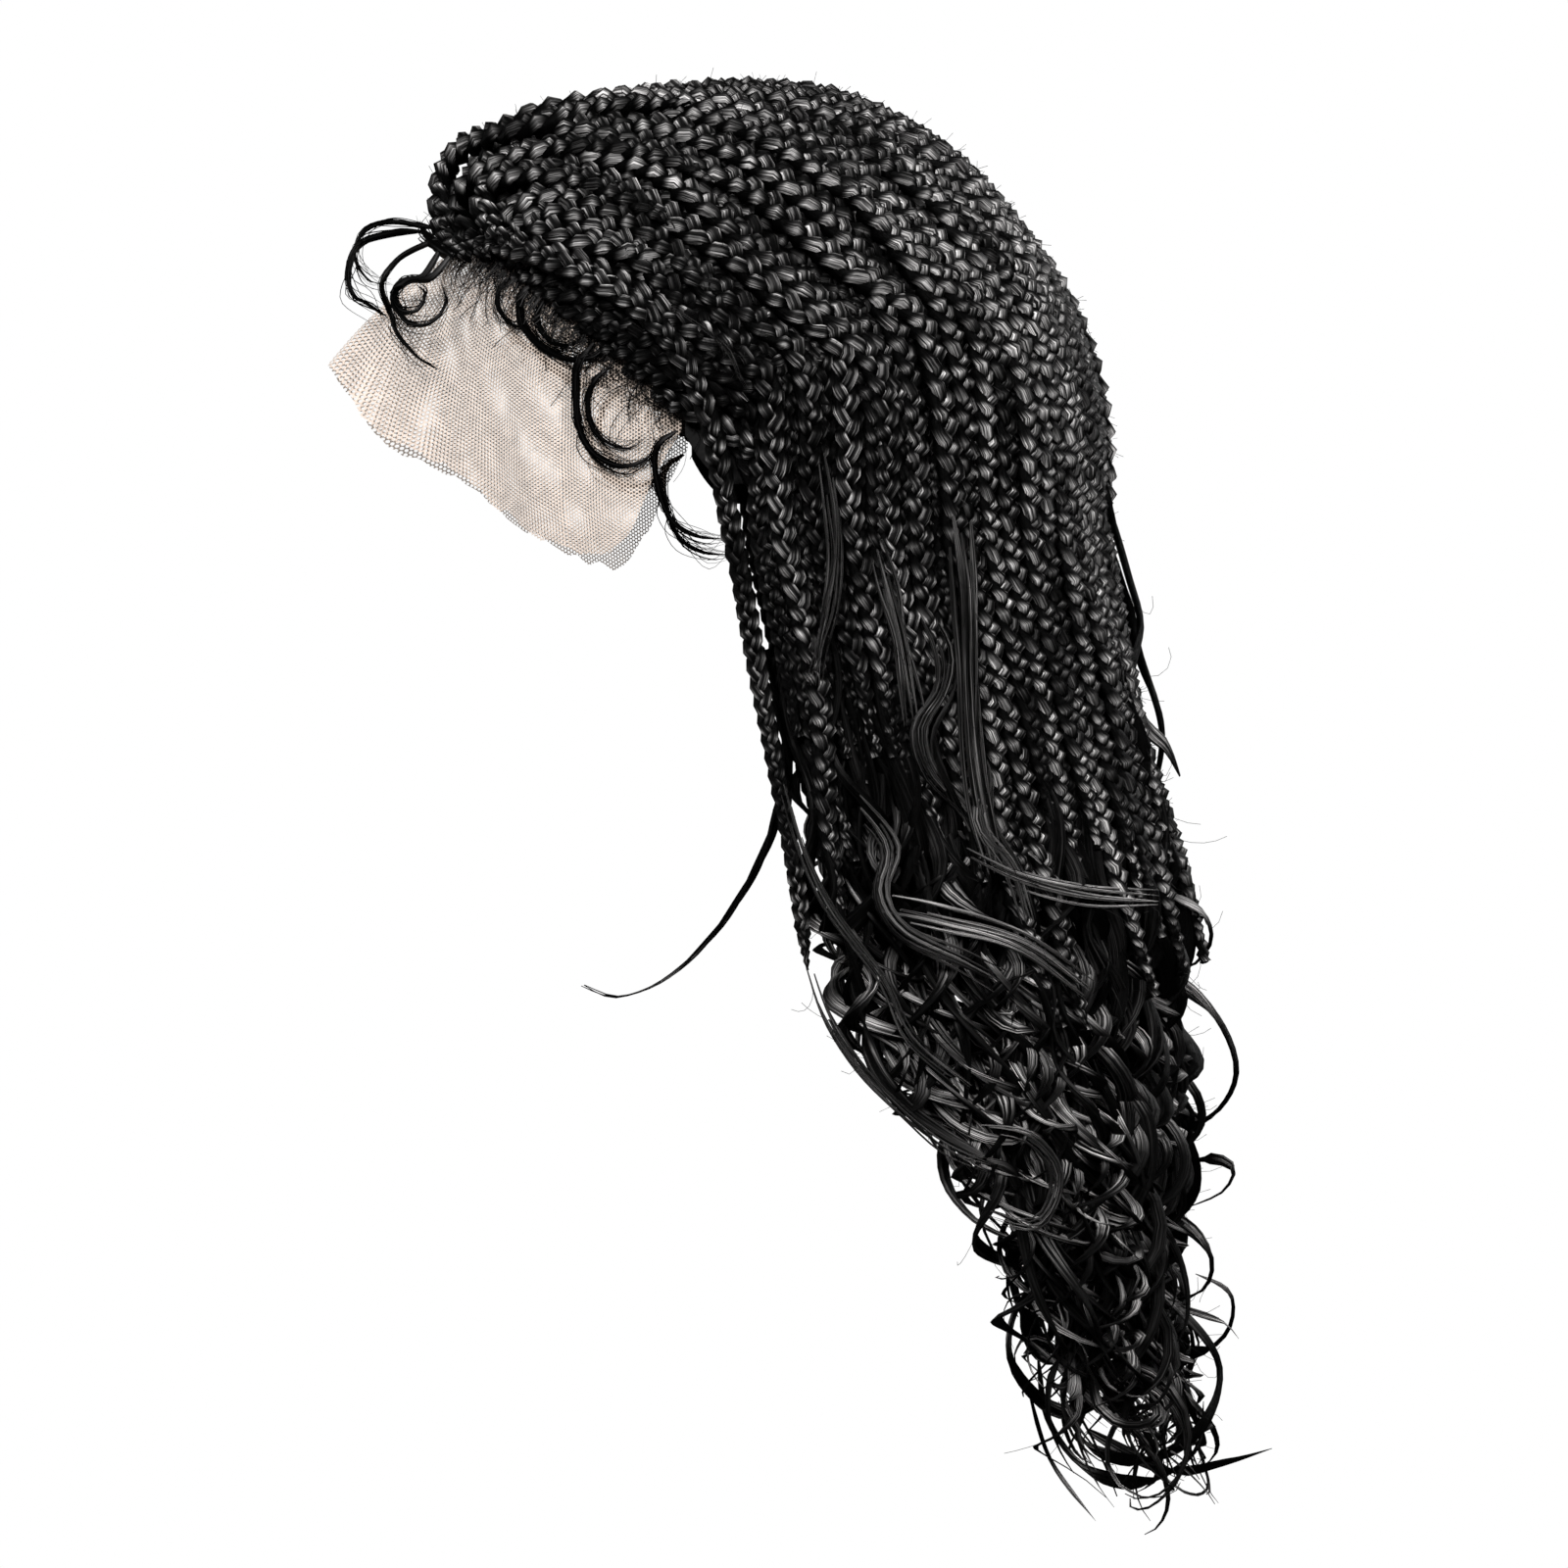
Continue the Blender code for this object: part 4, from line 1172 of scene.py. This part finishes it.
# out is from the head
TEMPLE_SWIRLS = [PictureLock(*row) for row in (
    (1.6, 0.2, 2, ((548, 288), (532, 300), (530, 321), (536, 337), (552, 353), (571, 364), (587, 367),
     (606, 363), (619, 347), (622, 328), (616, 315))),
    (1.6, 0.2, 2, ((606, 350), (589, 372), (587, 404), (589, 430), (597, 452), (612, 468), (635, 476),
     (657, 469), (673, 455))),
    (1.3, 0.2, 3, ((690, 440), (672, 452), (667, 471), (671, 497), (679, 522), (695, 541), (718, 549),
     (740, 549))),
    (1.0, 0.2, 2, ((560, 300), (548, 320), (556, 344), (578, 352), (596, 344), (602, 328))),
    (1.0, 0.2, 2, ((624, 372), (604, 392), (600, 424), (614, 448), (640, 458), (660, 446))),
    (0.9, 0.2, 2, ((520, 282), (508, 300), (512, 322), (530, 334), (544, 326))),
)]


def off_brow(lock, across, down):
    """Point that hangs free before the brow and swings from side to side."""
    x = lock.out * MM + 8 * MM * math.sin(0.04 * (across + down))
    return seen_at(across, down, max(x, seen_on_head(across, down, 15 * MM).x))


def on_temple(lock, across, down):
    return seen_on_head(across, down, lock.out * MM)


def strands_of(lock, point_at, count, seed):
    """A main strand and finer ones that leave it more and more along the way."""
    routes = []
    for i in range(count):
        loose = 0 if i == 0 else 3.0 + 1.2 * i
        points = []
        for k, (across, down) in enumerate(lock.places):
            share = (k + 1) / len(lock.places)
            shift = loose * share * wander(seed + 5 * i, k * 0.6)
            lower = loose * share * wander(seed + 5 * i + 2, k * 0.6)
            points.append(point_at(lock, across + shift, down + lower))
        width = lock.width * MM * (1.9 if i == 0 else 0.75 if i < 4 else 0.3)
        routes.append(lock_route(points, width, lock.tip, 0.1 * i, spacing=1.6 * MM))
    return routes


def mirrored(route):
    flip = Vector((-1, 1, 1))
    outs = [out * flip for out in route.outs]
    return Route([p * flip for p in route.points], route.widths, route.tone, outs=outs)


def hairline_point(side, u, out):
    point = hair_points(0, place_on(side, u))[1]
    return point + outward(point) * out


def root_hairs(count):
    """Short, curved hairs in a dense row along the hairline."""
    routes = []
    for i in range(count):
        side = 1 if i % 2 else -1
        start = hairline_point(side, rng.uniform(0.01, 1.0), 1.2 * MM)
        start = behind_hairline(start, rng.uniform(-4, 1) * MM)
        out = outward(start)
        down = Vector((0, -0.6 - 0.5 * rng.random(), -1))
        run = (down - out * down.dot(out)).normalized()
        across = run.cross(out) * rng.choice((-1, 1))
        length, bend = rng.uniform(3, 10) * MM, rng.uniform(0.4, 2.8)
        points = []
        for k in range(6):
            angle = bend * k / 5
            forward = run * math.sin(angle) + across * (1 - math.cos(angle))
            points.append(start + forward * length / bend + out * 0.7 * MM * k / 5)
        routes.append(Route(points, rng.uniform(0.2, 0.42) * MM, 0.0, outs=[out] * 6))
    return routes


def fringe_hairs(count):
    """Very fine, wavy hairs that lie on the lace along the whole hairline."""
    routes = []
    for i in range(count):
        side = 1 if i % 2 else -1
        start = hairline_point(side, rng.uniform(0.02, 1.0), 0)
        turn = math.degrees(math.atan2(start.x, -start.y))
        drop = -start.z / HEAD_HEIGHT
        length = rng.uniform(0.05, 0.26)
        lean = rng.uniform(-9, 9)
        wave, phase = rng.uniform(1.0, 4.5), rng.uniform(0, 6.3)
        points = []
        for k in range(11):
            share = k / 10
            angle = phase + 5.5 * share
            facing = turn + lean * share + wave * share * math.sin(angle)
            lower = drop - 0.05 + length * share + 0.03 * share * math.cos(angle)
            points.append(head_point(facing, lower, (1.6 + 2.0 * share * rng.random()) * MM))
        routes.append(Route(smooth_line(points, 2 * MM), rng.uniform(0.16, 0.34) * MM, 0.0))
    return routes


def make_swirls():
    routes = []
    for i, lock in enumerate(SWIRLS):
        routes += strands_of(lock, off_brow, 12, 10 * i + 3)
    for i, lock in enumerate(TEMPLE_SWIRLS):
        near = strands_of(lock, on_temple, 14, 10 * i + 70)
        routes += near + [mirrored(route) for route in near]
    routes += fringe_hairs(FRINGE_HAIRS) + root_hairs(ROOT_HAIRS)
    settle(grow("hairline_swirls", routes, strand_tree, FINE_FORM), "hair")


make_swirls()


def stray_hairs(routes, count, reach):
    """Short single hairs that leave strands at random places."""
    strays = []
    for _ in range(count):
        route = rng.choice(routes)
        start = rng.randrange(1, max(2, len(route.points) - 3))
        point, out = route.points[start], route.outs[start]
        run = (route.points[start + 1] - point).normalized()
        side = run.cross(out)
        length = rng.uniform(0.35, 1.0) * reach
        away = (out + side * rng.uniform(-1.2, 1.2)).normalized()
        first_way = (run + away * rng.uniform(0.1, 0.8)).normalized()
        second_way = first_way.cross(away.cross(first_way)).normalized()
        bend = rng.uniform(0.6, 3.2) * rng.choice((-1, -1, 1))
        point = point + out * route.widths[start] * 0.35
        points = []
        for k in range(7):
            angle = bend * k / 6
            way = first_way * math.sin(angle) + second_way * (math.cos(angle) - 1)
            points.append(point + way * length / bend)
        if all((kept_in(p) - p).length < 1e-6 for p in points):
            strays.append(Route(points, STRAY_WIDTH, rng.random(), outs=[out] * 7))
    return strays


plaits = [route for group in GROUPS for route in group_routes[group].plaits]
ends = [route for group in GROUPS for route in group_routes[group].ends]
strays = stray_hairs(plaits, PLAIT_STRAYS, 5.5 * MM) + stray_hairs(ends, END_STRAYS, 20 * MM)
settle(grow("stray_hairs", strays, strand_tree, STRAY_FORM), "hair")


# Cap, lace and ear tabs


def net_piece(name, columns, material, wall=0, dense=None):
    """Sheet of net from columns of points with their places in the net map, and its wall, inwards."""
    count = len(columns[0][0])
    faces = []
    for i in range(len(columns) - 1):
        for k in range(count - 1):
            a = i * count + k
            faces.append((a, a + 1, a + count + 1, a + count))
    mesh = bpy.data.meshes.new(name)
    mesh.from_pydata([tuple(p) for points, _ in columns for p in points], [], faces)
    flat = [place for _, places in columns for place in places]
    layer = mesh.uv_layers.new(name="net")
    layer.data.foreach_set("uv", np.array([flat[loop.vertex_index] for loop in mesh.loops]).ravel())
    if dense:
        mesh.attributes.new("dense", "FLOAT", "POINT").data.foreach_set("value", dense)
    mesh.polygons.foreach_set("use_smooth", [True] * len(mesh.polygons))
    mesh.materials.append(material)
    piece = new_object(name, mesh)
    if wall:
        solid = piece.modifiers.new("wall", "SOLIDIFY")
        solid.thickness = wall
        solid.offset = -1
    return piece


def column(facing, drops, outs, turn=None):
    """Points down the head and their places in the net map, which is laid out by turn."""
    turn = facing if turn is None else turn
    places = [(math.radians(turn) * NET_RADIUS, -drop * HEAD_HEIGHT) for drop in drops]
    return [head_point(facing, drop, out) for drop, out in zip(drops, outs)], places


def make_cap():
    """Stretch net of the cap, and the elastic band round its nape."""
    columns = []
    across, rings = 96, 26
    for i in range(across + 1):
        turn = blend(-180, 180, i / across)
        drops = [read_table(RIM, turn) * (k / rings) ** 0.8 for k in range(rings + 1)]
        columns.append(column(turn, drops, [CAP_WALL] * len(drops)))
    settle(net_piece("stretch_cap", columns, black_net, CAP_WALL), "cap_net", "cap")

    columns = []
    for i in range(61):
        turn = blend(100, 260, i / 60)
        facing = turn if turn <= 180 else turn - 360
        wave = 0.35 * MM * math.sin(i * 1.6)
        rim = read_table(RIM, facing)
        drops = [rim - share * 0.15 for share in (0.0, 0.02, 0.2, 0.5, 0.8, 0.98, 1.0)]
        outs = [CAP_WALL + out * MM + wave for out in (0.3, 1.0, 1.2, 1.1, 1.2, 1.0, 0.3)]
        columns.append(column(facing, drops, outs, turn))
    settle(net_piece("nape_band", columns, black_net, 0.6 * MM), "cap_net")


def make_lace():
    """Sheer net from under the front plaits down to its cut edge, loose and creased over the brow."""
    columns, dense = [], []
    across, rings = 150, 30
    limit = LACE_DROP[-1][0]
    for i in range(across + 1):
        turn = blend(-limit, limit, i / across)
        rim = read_table(RIM, turn)
        top = rim - LACE_UNDER / HEAD_HEIGHT
        edge = read_table(LACE_DROP, turn) + 0.012 * wander(3, i * 0.31) + 0.004 * wander(5, i * 1.3)
        lift = max(0.0, read_table(LACE_LIFT, turn)) * LACE_STANDS_OFF
        drops = [blend(top, edge, k / rings) for k in range(rings + 1)]
        outs = []
        for drop in drops:
            share = max(0.0, (drop - rim) / (edge - rim))
            out = CAP_WALL + 0.4 * MM if drop < rim else 0.5 * MM + lift * share**1.2
            out += 1.6 * MM * share * wander(11, turn * 0.11) * (1 if abs(turn) < 50 else 0.3)
            out += 2.5 * MM * share * math.exp(-((turn / 2.2) ** 2))
            outs.append(max(out, 0.4 * MM))
        columns.append(column(turn, drops, outs))
        dense += [1 - ease((drop - rim + 0.03) / 0.06) for drop in drops]
    lace = settle(net_piece("lace_sheet", columns, tan_lace, dense=dense), "lace", "lace_front")


def make_tabs():
    """Tabs before the ears, from the lace to behind the temples."""
    for name, side in (("left", 1), ("right", -1)):
        columns = []
        for i in range(17):
            share = i / 16
            turn = blend(LACE_DROP[-1][0] + 1, 94, share)
            top = read_table(RIM, turn) - 0.02
            bulge = 0.35 + 0.65 * math.sin(math.pi * (0.15 + 0.7 * share))
            reach = 14 * MM / HEAD_HEIGHT * bulge + 0.02
            drops = [top + reach * k / 8 for k in range(9)][::side]
            columns.append(column(side * turn, drops, [1.5 * MM] * 9, turn))
        settle(net_piece(f"tab_{name}", columns, black_net, 1.5 * MM), "cap_net", f"ear_tab_{name}")


make_cap()
make_lace()
make_tabs()


# Camera and light


def make_stage():
    camera_data = bpy.data.cameras.new("camera")
    camera = new_object("camera", camera_data)
    camera.location = PICTURE_MIDDLE + Vector((CAMERA_DISTANCE, 0, 0))
    camera.rotation_euler = (math.pi / 2, 0, math.pi / 2)
    camera_data.lens = camera_data.sensor_width * CAMERA_DISTANCE / (PICTURE_PIXELS * PIXEL)
    camera_data.clip_end = 20
    bpy.context.scene.camera = camera

    world = bpy.data.worlds.new("studio")
    bpy.context.scene.world = world
    world.use_nodes = True
    tree = world.node_tree
    seen = add(tree, "ShaderNodeLightPath").outputs["Is Camera Ray"]
    sky = tree.nodes["Background"]
    sky.inputs["Color"].default_value = (1, 1, 1, 1)
    tree.links.new(ramp(tree, seen, 0.02, 1.0), sky.inputs["Strength"])

    Light = namedtuple("Light", "name place size power")
    for light in (
        Light("key", (2.0, -0.5, 0.9), 0.7, 85),
        Light("fill", (1.9, 1.2, 0.0), 0.8, 58),
        Light("top", (0.4, 0.2, 1.4), 0.7, 40),
        Light("back", (-1.0, 1.3, 0.6), 0.8, 26),
        Light("front", (-0.4, -1.9, 0.3), 0.8, 22),
    ):
        data = bpy.data.lights.new(light.name, "AREA")
        data.size = light.size
        data.energy = light.power
        lamp = new_object(light.name, data)
        lamp.location = light.place
        aim = Vector((0, 0.02, -0.18)) - lamp.location
        lamp.rotation_euler = aim.to_track_quat("-Z", "Y").to_euler()
    bpy.context.scene.view_settings.view_transform = "Standard"


make_stage()
